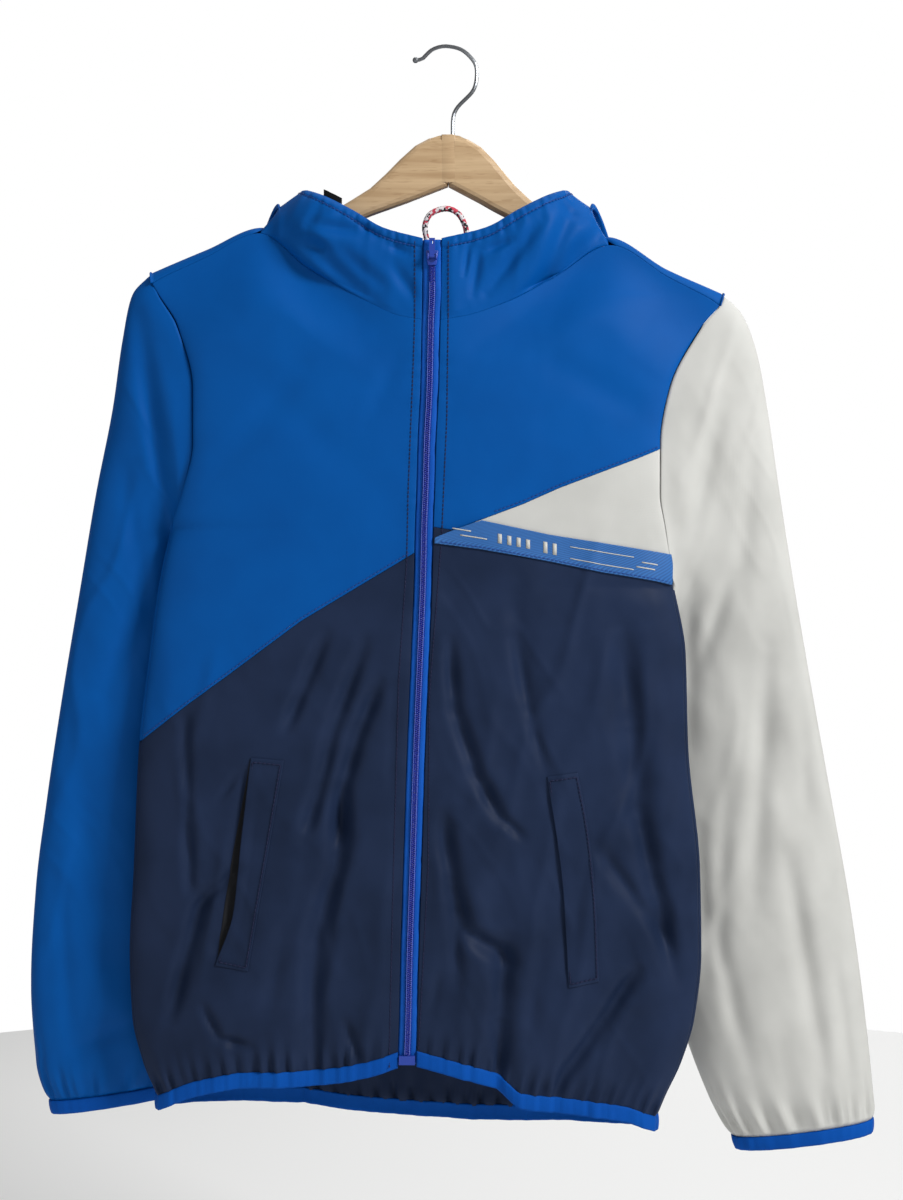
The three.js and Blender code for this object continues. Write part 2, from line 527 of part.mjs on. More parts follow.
const lowered = (row) => [0, 0.5, 1].map((f) => row.map(([x, y, z]) =>
  [x, y, z - SEAM_GAP - f * (BINDING - SEAM_GAP)]));

const parts = [];
const material = (color, roughness = 0.7, metalness = 0) =>
  new THREE.MeshStandardMaterial({ color, roughness, metalness });
function add(name, solid, colour, roughness, metalness) {
  const { vertProperties, triVerts, numProp } = largest(solid.simplify(FACET_PLAY)).getMesh();
  const places = new Float32Array(triVerts.length * 3);
  triVerts.forEach((v, i) => {
    for (let k = 0; k < 3; k++) places[i * 3 + k] = vertProperties[v * numProp + k];
  });
  const geometry = new THREE.BufferGeometry().setAttribute("position", new THREE.BufferAttribute(places, 3));
  geometry.computeVertexNormals();
  const mesh = new THREE.Mesh(geometry, material(colour, roughness, metalness));
  mesh.name = name;
  parts.push(mesh);
}

// Closed solid through rings of points, with flat ends.
function loft(rings) {
  const n = rings[0].length;
  const tris = [];
  for (let r = 0; r + 1 < rings.length; r++) {
    for (let k = 0; k < n; k++) {
      const [a, b] = [r * n + k, r * n + ((k + 1) % n)];
      tris.push(a, a + n, b, b, a + n, b + n);
    }
  }
  const last = (rings.length - 1) * n;
  for (let k = 1; k + 1 < n; k++) tris.push(0, k, k + 1, last, last + k + 1, last + k);
  return toSolid(new Float32Array(rings.flat(2)), new Uint32Array(tris));
}
function box(x0, x1, y0, y1, z0, z1) {
  const solid = new THREE.BoxGeometry(x1 - x0, y1 - y0, z1 - z0);
  return fromGeometry(solid.translate((x0 + x1) / 2, (y0 + y1) / 2, (z0 + z1) / 2));
}
// Round bar along X through a point.
function barX(x, y, z, radius, half, sides = 12) {
  return fromGeometry(new THREE.CylinderGeometry(radius, radius, half * 2,
    sides).rotateZ(Math.PI / 2).translate(x, y, z));
}
// Body panels in their colours
const HALF = SEAM_GAP / 2;
const rightFront = frontPanel.right.subtract(prism(POCKETS.right.slit));
add("front_right_upper", largest(rightFront.intersect(prism(above(RIGHT_SEAM, HALF)))), BLUE);
add("front_right_lower", largest(rightFront.intersect(prism(below(RIGHT_SEAM, -HALF)))), NAVY);
const TAPE_MIDDLE = TAPE_TOP.map(([x, z], i) => [x, (z + TAPE_BOTTOM[i][1]) / 2]);
const upperLeft = frontPanel.left.intersect(prism(above(TAPE_MIDDLE, HALF)));
add("front_left_upper", largest(upperLeft.intersect(prism(above(WEDGE_TOP, HALF)))), BLUE);
add("front_left_wedge", largest(upperLeft.intersect(prism(below(WEDGE_TOP, -HALF)))), WHITE);
add("front_left_lower", largest(frontPanel.left.intersect(prism(below(TAPE_MIDDLE, -HALF)))), NAVY);
const fronts = frontPanel.right.add(frontPanel.left);
const back = backPanel.subtract(fronts).subtract(frontRoom.right).subtract(frontRoom.left)
  .subtract(fronts.translate([0, SEAM_GAP, 0]));
const BACK_SEAM = [[-270, -553], [-234, -528], [0, -470], [180, -398], [230, -382]];
add("back_upper", largest(back.intersect(prism(above(BACK_SEAM, HALF)))), BLUE);
add("back_lower", largest(back.intersect(prism(below(BACK_SEAM, -HALF)))), NAVY);

// Tape and pocket welts lie on the fronts, pocket bags behind them
const layer = (side, thick, lift) => wall(sheets[side], thick, { lift });
const onTop = (side, thick) => layer(side, thick, LAYER_GAP + thick);
const TAPE_OUTLINE = [...TAPE_TOP, ...TAPE_BOTTOM.slice().reverse()];
const TAPE_ENDS = [[27, -361.5], [166, -380], [169, -412], [26, -386], [-12, -379]];
const tape = largest(onTop("left", TAPE_WALL).intersect(prism(TAPE_OUTLINE)).intersect(prism(TAPE_ENDS)));
add("front_left_tape", tape, TAPE_BLUE);
const BAG_WALL = 1;
for (const side of ["right", "left"]) {
  const { welt, bag } = POCKETS[side];
  add("pocket_welt_" + side, largest(onTop(side, WELT_WALL).intersect(prism(welt))), NAVY);
  add("pocket_bag_" + side, largest(layer(side, BAG_WALL, -CLOTH - LAYER_GAP).intersect(prism(bag))), NAVY);
}

// Sleeves with their cuffs, the hood's halves and the hem's binding
const panels = frontRoom.right.add(frontRoom.left).add(backRoom)
  .add(frontPanel.right).add(frontPanel.left).add(backPanel).add(tape);
const sideEnd = (side, row) => (SIDES[side].sign > 0 ? row.length - 1 : 0);
for (const side of ["right", "left"]) {
  const sleeve = wall(ringed(side, sleeveRows(side)), CLOTH, { ring: true });
  const sideways = frontPanel[side].translate([SIDES[side].sign * SEAM_GAP, 0, 0]);
  add("sleeve_" + side, largest(sleeve.subtract(panels).subtract(sideways)), side === "right" ? BLUE : WHITE);
  add("cuff_" + side, wall(ringed(side, cuffRows(side)), BINDING_WALL, { ring: true, lift: 0.3 }), BLUE);
  const hood = wall(turned(side, hoodRows(side)).map((row) => row.slice().reverse()), HOOD_CLOTH);
  const middle = HOOD_MIDDLE + SIDES[side].sign * HALF;
  const far = middle + SIDES[side].sign * 300;
  const half = prism([[middle, 0], [far, 0], [far, -600], [middle, -600]]);
  const clear = hood.subtract(panels).subtract(frontPanel[side].translate([0, 0, SEAM_GAP])).intersect(half);
  add("hood_" + side, largest(clear.subtract(backPanel.translate([0, 0, SEAM_GAP]))), BLUE);
  const edge = sheets[side][sheets[side].length - 1];
  const row = edge.map((p, i) => (i === sideEnd(side, edge)
    ? [p[0] - SIDES[side].sign * 0.8, p[1] - 0.4, p[2]] : p));
  const hem = wall(lowered(row), BINDING_WALL, { lift: 0.3 }).subtract(frontPanel[side].translate([0, 0,
    -HALF]));
  add("hem_front_" + side, largest(hem), BLUE);
}
const backEdge = backSheet[backSheet.length - 1];
const insideEnds = backEdge.map(([x, y, z], i) => {
  const end = i === 0 || i === backEdge.length - 1;
  return end ? [x - Math.sign(x) * -0.2, y + 0.7, z] : [x, y, z];
});
add("hem_back", wall(lowered(insideEnds), BINDING_WALL, { lift: 0.3 }), BLUE);

// Zip: two tapes, the coil, the bottom box and the slider with its pull tab
const ZIP = { top: -152, coilTop: -172, coilBottom: -761, bottom: -768, tapeWall: 0.9, coilHalf: 2.6,
  coilHigh: 1.8 };
const ZIP_DEPTH = [[-900, -FRONT_DEPTH], [-240, -FRONT_DEPTH], [-211, -27.5], [-185, -30.2], [-150, -31]];
const zipY = (z) => read(ZIP_DEPTH, z);
const ZIP_STOPS = [-185, -198, -211, -240, -300, -369, -450, -533, -626, -690, -738];
function zipBar(top, bottom, x0, x1, y0, y1) {
  return loft([top, ...ZIP_STOPS.filter((z) => z < top - 2 && z > bottom + 2), bottom].map((z) => {
    return [[x0, y0], [x1, y0], [x1, y1], [x0, y1]].map(([x, y]) => [zipX(z) + x, zipY(z) + y, z]);
  }));
}
for (const side of ["right", "left"]) {
  const [a, b] = [0.2, ZIP_HALF - 2 * SEAM_GAP].map((x) => x * SIDES[side].sign);
  add("zip_tape_" + side, zipBar(ZIP.top, ZIP.bottom, Math.min(a, b), Math.max(a, b), 0.5,
    0.5 + ZIP.tapeWall), BLUE);
}
add("zip_coil", zipBar(ZIP.coilTop, ZIP.coilBottom, -ZIP.coilHalf, ZIP.coilHalf, 0.2 - ZIP.coilHigh, 0.2),
  0x2c3f96, 0.4);
add("zip_box", zipBar(ZIP.coilBottom - SEAM_GAP, ZIP.bottom, -6, 6, -2.4, 0.2), BLUE, 0.35);
const SLIDER = { high: 11, half: 4.8, deep: 3.8, ear: 1.2, earHigh: 4.6, pivotUp: 6, pivotOut: 5.9,
  pin: 0.6, play: 0.3 };
const sliderZ = ZIP.coilTop + SEAM_GAP;
const sliderX = zipX(sliderZ);
const sliderY = zipY(sliderZ);
const PIVOT = [sliderX, sliderY - SLIDER.pivotOut, sliderZ + SLIDER.pivotUp];
const sliderOutline = [[-0.7, 0], [0.7, 0], [1, 0.75], [0.8, 1], [-0.8, 1], [-1, 0.75]]
  .map(([x, z]) => [sliderX + x * SLIDER.half, sliderZ + z * SLIDER.high]);
let slider = prism(sliderOutline, sliderY - SLIDER.deep, sliderY + 0.2);
for (const k of [-1, 1]) {
  const [x0, x1] = [k * 2.5, k * (2.5 + SLIDER.ear)].sort((a, b) => a - b);
  const reach = PIVOT[1] - 1.7;
  slider = slider.add(box(sliderX + x0, sliderX + x1, reach, sliderY - SLIDER.deep + 0.5,
    PIVOT[2] - SLIDER.earHigh / 2, PIVOT[2] + SLIDER.earHigh / 2));
}
slider = slider.subtract(barX(...PIVOT, SLIDER.pin + SLIDER.play, 6));
add("zip_slider", slider, 0x2a4aa0, 0.35, 0.3);
const PULL = { long: 14, half: 2.1, thick: 1.4, lean: 0.14 };
const pullPlate = box(-PULL.half, PULL.half, -PULL.thick / 2, PULL.thick / 2, 0, PULL.long)
  .add(barX(0, 0, 0, 1.1, PULL.half)).add(barX(0, 0, 0, SLIDER.pin, 2.5 + SLIDER.ear - 0.2, 8))
  .subtract(box(-1, 1, -3, 3, PULL.long - 4.5, PULL.long - 2));
add("zip_pull", pullPlate.rotate([-PULL.lean * 180 / Math.PI, 0, 0]).translate(PIVOT), 0x2a4aa0, 0.35, 0.3);

// Hanger: two arms that meet at a mitre, and the hook, whose stem stands in a bore
const ridgeZ = (side, x) => {
  const place = (x - zipX(-150)) / (outline(-150, side) - zipX(-150));
  return read(SIDES[side].backTop, place);
};
const WOOD_ROUND = 5.8;
const SHOULDER_SLANT = 0.92; // cosine of the shoulder's slope
const REST_PLAY = 2.3;
const UNDER_CLOTH = (CLOTH + SEAM_GAP) / SHOULDER_SLANT + REST_PLAY;
const BORE = { x: HOOK_LINE[0][0], top: -60, bottom: HOOK_LINE[0][1] - SEAM_GAP };
const stem = new THREE.CylinderGeometry(HOOK_WIRE / 2 + 0.3, HOOK_WIRE / 2 + 0.3, BORE.top - BORE.bottom, 12)
  .rotateX(Math.PI / 2).translate(BORE.x, 0, (BORE.top + BORE.bottom) / 2);
const bore = fromGeometry(stem);
for (const side of ["right", "left"]) {
  const sign = SIDES[side].sign;
  const { visible, inside, bottom } = HANGER[side];
  const hidden = inside.map((x) => [x, ridgeZ(side, x) - UNDER_CLOTH]);
  const top = new THREE.SplineCurve([...visible, ...hidden].map((p) =>
    new THREE.Vector2(...p))).getPoints(16);
  const edge = new THREE.SplineCurve(bottom.map((p) => new THREE.Vector2(...p))).getPoints(6);
  const middle = MITRE_X + sign * HALF;
  const outlineOf = [[middle, HANGER.crown], ...top.map((p) => [p.x, p.y]),
    ...edge.reverse().map((p) => [p.x, p.y]),
    [middle, HANGER.apex]];
  const shape = new THREE.Shape(outlineOf.map(([x, z]) => new THREE.Vector2(x, z)));
  const solid = new THREE.ExtrudeGeometry(shape, {
    depth: WOOD - 2 * WOOD_ROUND, bevelEnabled: true, bevelThickness: WOOD_ROUND, bevelSize: WOOD_ROUND - 1,
    bevelOffset: 1 - WOOD_ROUND, bevelSegments: 3,
  });
  solid.rotateX(Math.PI / 2).translate(0, WOOD / 2 - WOOD_ROUND, 0);
  const square = prism([[middle, 0], [sign * 400, 0], [sign * 400, -400], [middle, -400]]);
  const blank = fromGeometry(solid).add(prism(CROWN[side], -WOOD / 2 + 0.8,
    WOOD / 2 - 0.8)).intersect(square);
  add("hanger_arm_" + side, largest(blank.subtract(bore).subtract(panels)), WOOD_COLOUR, 0.55);
}
function cordAlong(points, radius, sides, count) {
  const path = new THREE.CatmullRomCurve3(points.map((p) => new THREE.Vector3(...p)));
  const section = new THREE.Shape(steps(sides).slice(1).map((f) => {
    const angle = f * 2 * Math.PI;
    return new THREE.Vector2(radius * Math.cos(angle), radius * Math.sin(angle));
  }));
  return fromGeometry(new THREE.ExtrudeGeometry(section,
    { steps: count, extrudePath: path, bevelEnabled: false }));
}
const tip = HOOK_LINE[HOOK_LINE.length - 1];
const ball = fromGeometry(new THREE.SphereGeometry(2.4, 10, 8).translate(tip[0], 0, tip[1]));
add("hook", cordAlong(HOOK_LINE.map(([x, z]) => [x, 0, z]), HOOK_WIRE / 2, 8, 44).add(ball), 0xc8cacd,
  0.15, 1);

// Hang loop at the back of the neck, and the small folded label at the hood's edge
add("hang_loop", cordAlong(LOOP_LINE, CORD / 2, 8, 36), 0xe6dfe0, 0.85);
const LABEL = { from: 9, to: 11, low: 11, above: 6, thick: 0.8 };
const labelColumns = hoodColumns(1).slice(LABEL.from, LABEL.to + 1);
const labelRows = HOOD_ROWS.slice(LABEL.low).map((v) => labelColumns.map((u) => hoodPoint("right", u, v)));
labelRows.push(labelRows[labelRows.length - 1].map(([x, y, z]) => [x, y, z + LABEL.above]));
add("label", wall(labelRows, LABEL.thick, { lift: -HOOD_CLOTH - LAYER_GAP }), 0x17181a, 0.8);

const group = new THREE.Group();
group.add(...parts);
export default group;
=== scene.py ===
# A hooded windbreaker hanging closed on a wooden hanger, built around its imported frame.
# Tables are in millimetres, as a cutter's pattern is, and meshes in metres.
import math

import bpy
import numpy as np
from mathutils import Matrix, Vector


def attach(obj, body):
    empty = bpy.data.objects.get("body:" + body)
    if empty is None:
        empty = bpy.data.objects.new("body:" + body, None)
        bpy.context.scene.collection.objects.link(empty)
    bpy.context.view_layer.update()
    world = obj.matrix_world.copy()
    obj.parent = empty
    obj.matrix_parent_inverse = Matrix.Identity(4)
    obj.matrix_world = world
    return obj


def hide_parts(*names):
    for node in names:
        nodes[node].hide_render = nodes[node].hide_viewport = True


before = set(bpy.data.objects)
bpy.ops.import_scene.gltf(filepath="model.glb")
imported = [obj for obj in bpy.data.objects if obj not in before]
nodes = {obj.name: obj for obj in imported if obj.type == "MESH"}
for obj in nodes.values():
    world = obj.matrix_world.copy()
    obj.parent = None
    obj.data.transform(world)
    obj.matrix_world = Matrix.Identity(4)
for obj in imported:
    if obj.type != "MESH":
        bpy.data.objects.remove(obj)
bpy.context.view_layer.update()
print("frame loaded:", len(nodes), "nodes")

# Outline of the body: height, right edge, left edge, middle of the zip. Right is the wearer's, at -X.
bodyOutline = [
    (-130, -226, 212, -10), (-173, -226, 212, -11), (-189, -219, 211, -11), (-214, -204, 193, -12),
    (-261, -192, 168, -13), (-302, -192, 161, -15), (-340, -201, 161, -16), (-365, -210, 165, -17),
    (-410, -220, 173, -18), (-461, -227, 182, -20), (-533, -235, 184, -23), (-626, -239, 193, -26),
    (-690, -242, 194, -28), (-738, -240, 189, -29), (-772, -232, 179, -30), (-800, -221, 166, -30),
    (-840, -210, 150, -30),
]
# Each half: its armhole, and its edges by share of the way from the middle to the side.
halves = {
    "right": {
        "sign": -1, "column": 1, "shoulder": -173, "armpit": -366, "corner": 0.6, "sleeveSeed": 61,
        "frontTop": [
            (0, -211), (0.09, -208), (0.22, -196), (0.42, -170), (0.6, -143), (0.8, -162), (1, -181),
        ],
        "frontHem": [(0, -771), (0.12, -778), (0.35, -785), (0.6, -787), (0.8, -794), (1, -808)],
        "backTop": [
            (0, -190), (0.2, -186), (0.38, -172), (0.5, -147), (0.55, -140), (0.6, -137), (0.8, -154),
            (1, -172),
        ],
        "backHem": [(0, -820), (0.2, -817), (0.45, -810), (0.8, -808), (1, -808)],
    },
    "left": {
        "sign": 1, "column": 2, "shoulder": -189, "armpit": -410, "corner": 0.59, "sleeveSeed": 71,
        "frontTop": [
            (0, -211), (0.09, -208), (0.22, -198), (0.4, -176), (0.59, -152), (0.8, -177), (1, -198),
        ],
        "frontHem": [
            (0, -770), (0.14, -778), (0.3, -788), (0.42, -802), (0.6, -806), (0.85, -814), (1, -824),
        ],
        "backTop": [
            (0, -190), (0.2, -187), (0.38, -176), (0.49, -154), (0.54, -147), (0.59, -144), (0.8, -169),
            (1, -188),
        ],
        "backHem": [(0, -820), (0.3, -824), (0.7, -824), (1, -824)],
    },
}
cut = {
    "seamGap": 0.3, "frontDepth": 27, "backDepth": 22, "neckBackDepth": 17, "shoulderRound": 11,
    "sideRound": 8, "armholeDepth": 16, "armholeGap": 0.2, "zipHalf": 7, "binding": 10.5,
    "sectionPower": 2.4, "wrap": 0.06, "overSide": 0.78, "topWrap": 0.035, "topRound": 0.8, "cloth": 0.9,
    "cell": 2.5, "edgeSteps": (0, 0.8, 1.6, 2.6, 4), "sinkReach": 2.2, "pieceGap": 0.12, "backGap": 0.0003,
}
# Sleeves from armhole to gathers: share, outer x, outer z, inner x, inner z, outer y, inner y, half depth.
sleeveCut = {
    "right": [
        (0, -226, -173, -210, -366, 0, 0, 16), (0.06, -240, -188, -208, -382, 2, 12, 20),
        (0.14, -248, -222, -203, -402, 5, 26, 23), (0.24, -256, -272, -196, -428, 9, 38, 24),
        (0.36, -270, -338, -188, -465, 14, 46, 24), (0.48, -284, -415, -181, -515, 19, 50, 24),
        (0.6, -298, -494, -176, -570, 23, 52, 24), (0.72, -311, -575, -174, -632, 27, 53, 24),
        (0.84, -321, -650, -176, -690, 31, 53, 24), (0.93, -325, -725, -182, -742, 34, 53, 25),
        (0.975, -321, -782, -191, -777, 36, 52, 24), (1, -311, -811, -202, -797, 36, 50, 19),
    ],
    "left": [
        (0, 212, -189, 173, -410, 0, 0, 16), (0.06, 225, -202, 172, -427, 2, 12, 20),
        (0.14, 236, -228, 169, -446, 5, 26, 23), (0.24, 245, -270, 165, -470, 9, 38, 24),
        (0.36, 256, -338, 160, -503, 14, 46, 24), (0.48, 269, -415, 156, -548, 19, 49, 24),
        (0.6, 284, -498, 156, -600, 23, 50, 24), (0.72, 299, -578, 162, -656, 26, 50, 24),
        (0.84, 314, -660, 173, -714, 29, 49, 24), (0.93, 325, -738, 188, -764, 31, 47, 25),
        (0.975, 331, -796, 206, -811, 32, 45, 24), (1, 332, -824, 224, -841, 32, 43, 19),
    ],
}
cuffCut = {"right": (2, -10.5, -1, -10.5), "left": (-0.5, -11, 3, -10.5)}
# Hood, from the zip round to the middle of the back: share, the rim's distance from the middle, y and z,
# the roll's distance, y and z, how far the pouch hangs, and how far it spreads.
hoodCut = [
    (0, 7, -31, -151, 7, -30, -185, 0, 0), (0.15, 38, -31, -143, 42, -31, -172, 0, 0),
    (0.28, 62, -29, -129, 72, -29, -156, 0, 0), (0.38, 82, -24, -118, 96, -25, -143, 0, 0),
    (0.46, 96, -12, -111, 112, -17, -131, 0, 2), (0.53, 100, 6, -108, 120, 4, -119, 6, 8),
    (0.61, 97, 32, -118, 122, 24, -119, 46, 24), (0.71, 82, 54, -138, 104, 31, -140, 120, 30),
    (0.84, 50, 68, -158, 62, 33, -158, 185, 22), (1, 0, 74, -168, 0, 34, -166, 215, 0),
]
hoodMiddle = -9
# Share round the neck at which the front's path hands over, the gathers end and the pouch begins
hoodTurn = {"path": 0.44, "gathers": 0.56, "pouch": 0.52, "over": 0.1}
# Folds: the places each one runs through as seen from the front, its depth and its half width.
frontFolds = [
    ((-150, -250), (-60, -330), 1.6, 18), ((-178, -330), (-110, -250), 1.8, 14),
    ((150, -280), (70, -240), 1.6, 14), ((100, -168), (22, -228), 2.6, 8),
    ((-104, -172), (-52, -214), 2.4, 9), ((-30, -225), (-60, -290), 1, 9),
    ((50, -420), (66, -520), 2.5, 9), ((-91, -448), (-107, -485), (-120, -516), 4.5, 6),
    ((-62, -453), (-86, -519), (-96, -564), (-107, -598), 5, 6.5),
    ((-52, -485), (-67, -522), (-79, -564), (-80, -598), 6, 7),
    ((-79, -566), (-82, -619), (-99, -674), (-101, -766), 6.5, 9),
    ((-197, -511), (-195, -577), (-193, -640), 4, 5), ((-183, -640), (-196, -687), (-208, -734), 5.5, 6.5),
    ((-156, -621), (-188, -653), 3, 5), ((-183, -726), (-170, -750), (-149, -755), 3.5, 4),
    ((-76, -737), (-67, -763), 3.5, 4), ((1, -453), (6, -503), (22, -550), (40, -585), 6, 6.5),
    ((40, -582), (56, -598), 3, 4.5), ((-4, -582), (4, -634), (14, -668), (48, -692), 6.5, 8),
    ((44, -676), (40, -734), (38, -784), 7, 9), ((4, -655), (9, -708), 3.5, 5),
    ((131, -445), (139, -516), (145, -587), 6.5, 12), ((145, -582), (156, -634), (174, -708), 6.5, 8.5),
    ((143, -700), (119, -734), (80, -789), 6, 6.5), ((51, -451), (61, -503), (74, -548), 2.5, 5),
    ((114, -608), (145, -650), (166, -679), 3, 6), ((-38, -482), (-41, -561), 2, 5),
    ((-122, -661), (-133, -726), 2.5, 8), ((67, -687), (61, -752), 2.5, 8),
    ((-156, -550), (-170, -569), 2, 4), ((-7, -703), (-12, -729), 2.5, 4),
]
backFolds = [
    ((-160, -300), (-120, -560), 3, 16), ((120, -330), (80, -600), 3, 16),
    ((-60, -420), (-150, -720), 3.5, 15), ((20, -440), (100, -740), 3.5, 15),
    ((-20, -560), (-34, -800), 4, 9), ((-190, -420), (-200, -700), 3.5, 9),
    ((150, -460), (168, -720), 3.5, 9), ((60, -640), (130, -790), 4, 9), ((-90, -600), (-60, -790), 4, 9),
]
sleeveFolds = {
    "right": [
        ((-234, -205), (-212, -350), 3.5, 9), ((-215, -410), (-262, -490), 4, 12),
        ((-245, -748), (-295, -775), 3.5, 8), ((-290, -520), (-262, -700), 3, 14),
        ((-205, -470), (-232, -600), 2, 9), ((-222, -640), (-240, -760), 2, 8),
        ((-232, -250), (-206, -400), 1.5, 6), ((-246, -320), (-226, -450), 1.6, 8),
        ((-300, -640), (-290, -770), 1.6, 7),
    ],
    "left": [
        ((208, -272), (186, -372), 3.7, 9), ((216, -404), (196, -470), 3.3, 8),
        ((246, -460), (236, -660), 4.1, 10), ((262, -618), (289, -780), 4.1, 9),
        ((187, -405), (188, -535), 2.5, 8), ((206, -668), (233, -780), 2.9, 8),
        ((232, -300), (224, -420), 2, 9), ((272, -500), (280, -600), 1.6, 8),
        ((215, -560), (212, -700), 2, 7), ((196, -600), (202, -720), 1.6, 6),
        ((300, -700), (312, -800), 1.6, 6),
    ],
}
hoodFolds = [
    ((-102, -141), (-62, -146), 4, 6), ((-103, -154), (-90, -159), 4, 5),
    ((-116, -146), (-58, -193), 5, 8), ((-67, -138), (-50, -150), 2.5, 4),
    ((-43, -156), (-30, -161), 2.5, 4), ((-80, -160), (-48, -186), 3.5, 7),
    ((-40, -172), (-22, -196), 2.5, 6), ((96, -121), (66, -196), 6, 8), ((118, -140), (50, -202), 5, 8),
    ((70, -138), (30, -190), 4, 6), ((48, -152), (30, -160), 3, 4), ((16, -156), (13, -178), 2, 2.5),
    ((24, -160), (19, -192), 2.5, 4), ((-90, -124), (-104, -140), 2, 5), ((84, -122), (100, -134), 2.5, 5),
]
# Lines where the coloured pieces of the fronts are sewn together.
rightSeam = [(0, -370), (-25, -386), (-110, -437), (-168, -480), (-193, -498), (-226, -523), (-260, -548)]
wedgeTop = [(-20, -378), (25, -361), (57, -349), (84, -337), (142, -315), (200, -291)]
tapeTop = [(-20, -352), (25, -361), (77, -372), (116, -378), (160, -385), (200, -392)]
tapeBottom = [(-20, -377), (26, -383), (77, -392), (116, -400), (154, -406), (200, -415)]
tapeMiddle = [(a[0], (a[1] + b[1]) / 2) for a, b in zip(tapeTop, tapeBottom)]
backSeam = [(-270, -553), (-234, -528), (0, -470), (180, -398), (230, -382)]
# Gathers at the elastic edges: how many, how high, and how far they reach from the edge
waves = {
    "front": 17, "back": 28, "hem": 1.7, "hemReach": 24, "puckerAt": 6, "cuff": 18, "cuffSize": 1.5,
    "sleeveLong": 650, "rim": 7, "rimSize": 0.45, "rimReach": 16,
}
# Crumple: swells and ridges in the plain cloth and in the navy cloth, or the two in one
crease = {
    "navyFolds": 1.3, "frontSwell": (0.35, 1.3), "frontRidge": (0.1, 1.6), "backSwell": (0.6, 1.4),
    "backRidge": (0.5, 1.9), "sleeve": (1.5, 1.1), "hood": (0.9, 1.0), "frontWide": 210, "zipPucker": 0.45,
    "zipReach": 10, "dentWide": 6,
}


def mix(a, b, f):
    return a + (b - a) * f


# From p to q along a cubic that leaves with the slope a and comes in with the slope b
def between(p, q, a, b, f):
    return p + f * (a + f * (3 * (q - p) - 2 * a - b + f * (2 * (p - q) + a + b)))


# A table's value on a smooth line through its rows that never overshoots them
def read(table, place, column=1):
    xs = np.array([row[0] for row in table], float)
    ys = np.array([row[column] for row in table], float)
    place = np.asarray(place, float)
    if xs[-1] < xs[0]:
        xs, place = -xs, -place
    gaps = np.diff(xs)
    slopes = np.diff(ys) / gaps
    tangents = np.empty_like(ys)
    tangents[0], tangents[-1] = slopes[0], slopes[-1]
    a, b = slopes[:-1], slopes[1:]
    total = np.where(a + b == 0, 1, a + b)
    tangents[1:-1] = np.where(a * b <= 0, 0, 2 * a * b / total)
    i = np.clip(np.searchsorted(xs, place, side="right") - 1, 0, len(xs) - 2)
    f = np.clip((place - xs[i]) / gaps[i], 0, 1)
    return between(ys[i], ys[i + 1], tangents[i] * gaps[i], tangents[i + 1] * gaps[i], f)


def smooth(f):
    c = np.clip(f, 0, 1)
    return c * c * (3 - 2 * c)


# Outline of a body's section, from its middle at 0 to its side at 1
def bow(share):
    power = cut["sectionPower"]
    return (1 - np.clip(share, 0, 1) ** power) ** (1 / power)


def zipX(z):
    return read(bodyOutline, z, 3)


# Several even runs of shares in one row: from, to and the number of points in each
def spans(*runs):
    rows = [np.linspace(*run) for run in runs]
    return np.concatenate([row[:-1] for row in rows[:-1]] + [rows[-1]])


# Length run along a line of points, or along a grid's rows or columns on average
def runLength(points, axis=0):
    steps = np.linalg.norm(np.diff(points, axis=axis), axis=-1)
    return np.concatenate([[0], np.cumsum(steps if steps.ndim == 1 else steps.mean(1 - axis))])


# Depth of soft troughs at a place seen from the front or through from the back
def folds(table, x, z):
    total = 0
    for *line, size, wide in table:
        for (x0, z0), (x1, z1) in zip(line, line[1:]):
            dx, dz = x1 - x0, z1 - z0
            along = np.clip(((x - x0) * dx + (z - z0) * dz) / (dx * dx + dz * dz), 0, 1)
            away = np.hypot(x - x0 - along * dx, z - z0 - along * dz) / wide
            ends = np.sin(np.pi * np.clip(0.12 + along * 0.76, 0, 1))
            total = total + size * ends * np.exp(-(away ** 2)) * (1 - 0.35 * away ** 2)
    return total


noiseGrids = {}
noiseSize = 97


# Soft noise between -1 and 1 on a seeded grid that repeats
def softNoise(seed, a, b):
    if seed not in noiseGrids:
        noiseGrids[seed] = np.random.RandomState(seed).uniform(-1, 1, (noiseSize, noiseSize))
    grid = noiseGrids[seed]
    i, j = np.floor(a).astype(int), np.floor(b).astype(int)
    f, g = a - i, b - j
    f, g = f * f * f * (f * (f * 6 - 15) + 10), g * g * g * (g * (g * 6 - 15) + 10)
    i0, i1, j0, j1 = (place % noiseSize for place in (i, i + 1, j, j + 1))
    return mix(mix(grid[i0, j0], grid[i1, j0], f), mix(grid[i0, j1], grid[i1, j1], f), g)


# Crumple of thin cloth: soft swells, and sharp ridges that run down the cloth
def crumple(seed, x, z, swell, ridge):
    tilt = x + 0.35 * z
    bend = 14 * softNoise(seed + 5, x / 70, z / 90)
    soft = softNoise(seed, (tilt + bend) / 34, z / 95) + 0.5 * softNoise(seed + 1, x / 19, z / 48)
    sharp = 1 - np.abs(softNoise(seed + 2, (x - 0.25 * z + bend) / 36, z / 130)) * 1.7
    fine = 1 - np.abs(softNoise(seed + 3, (x + 0.5 * z - bend) / 21, (z - 0.2 * x) / 60)) * 1.8
    return swell * soft + ridge * (smooth(sharp) + 0.4 * smooth(fine))


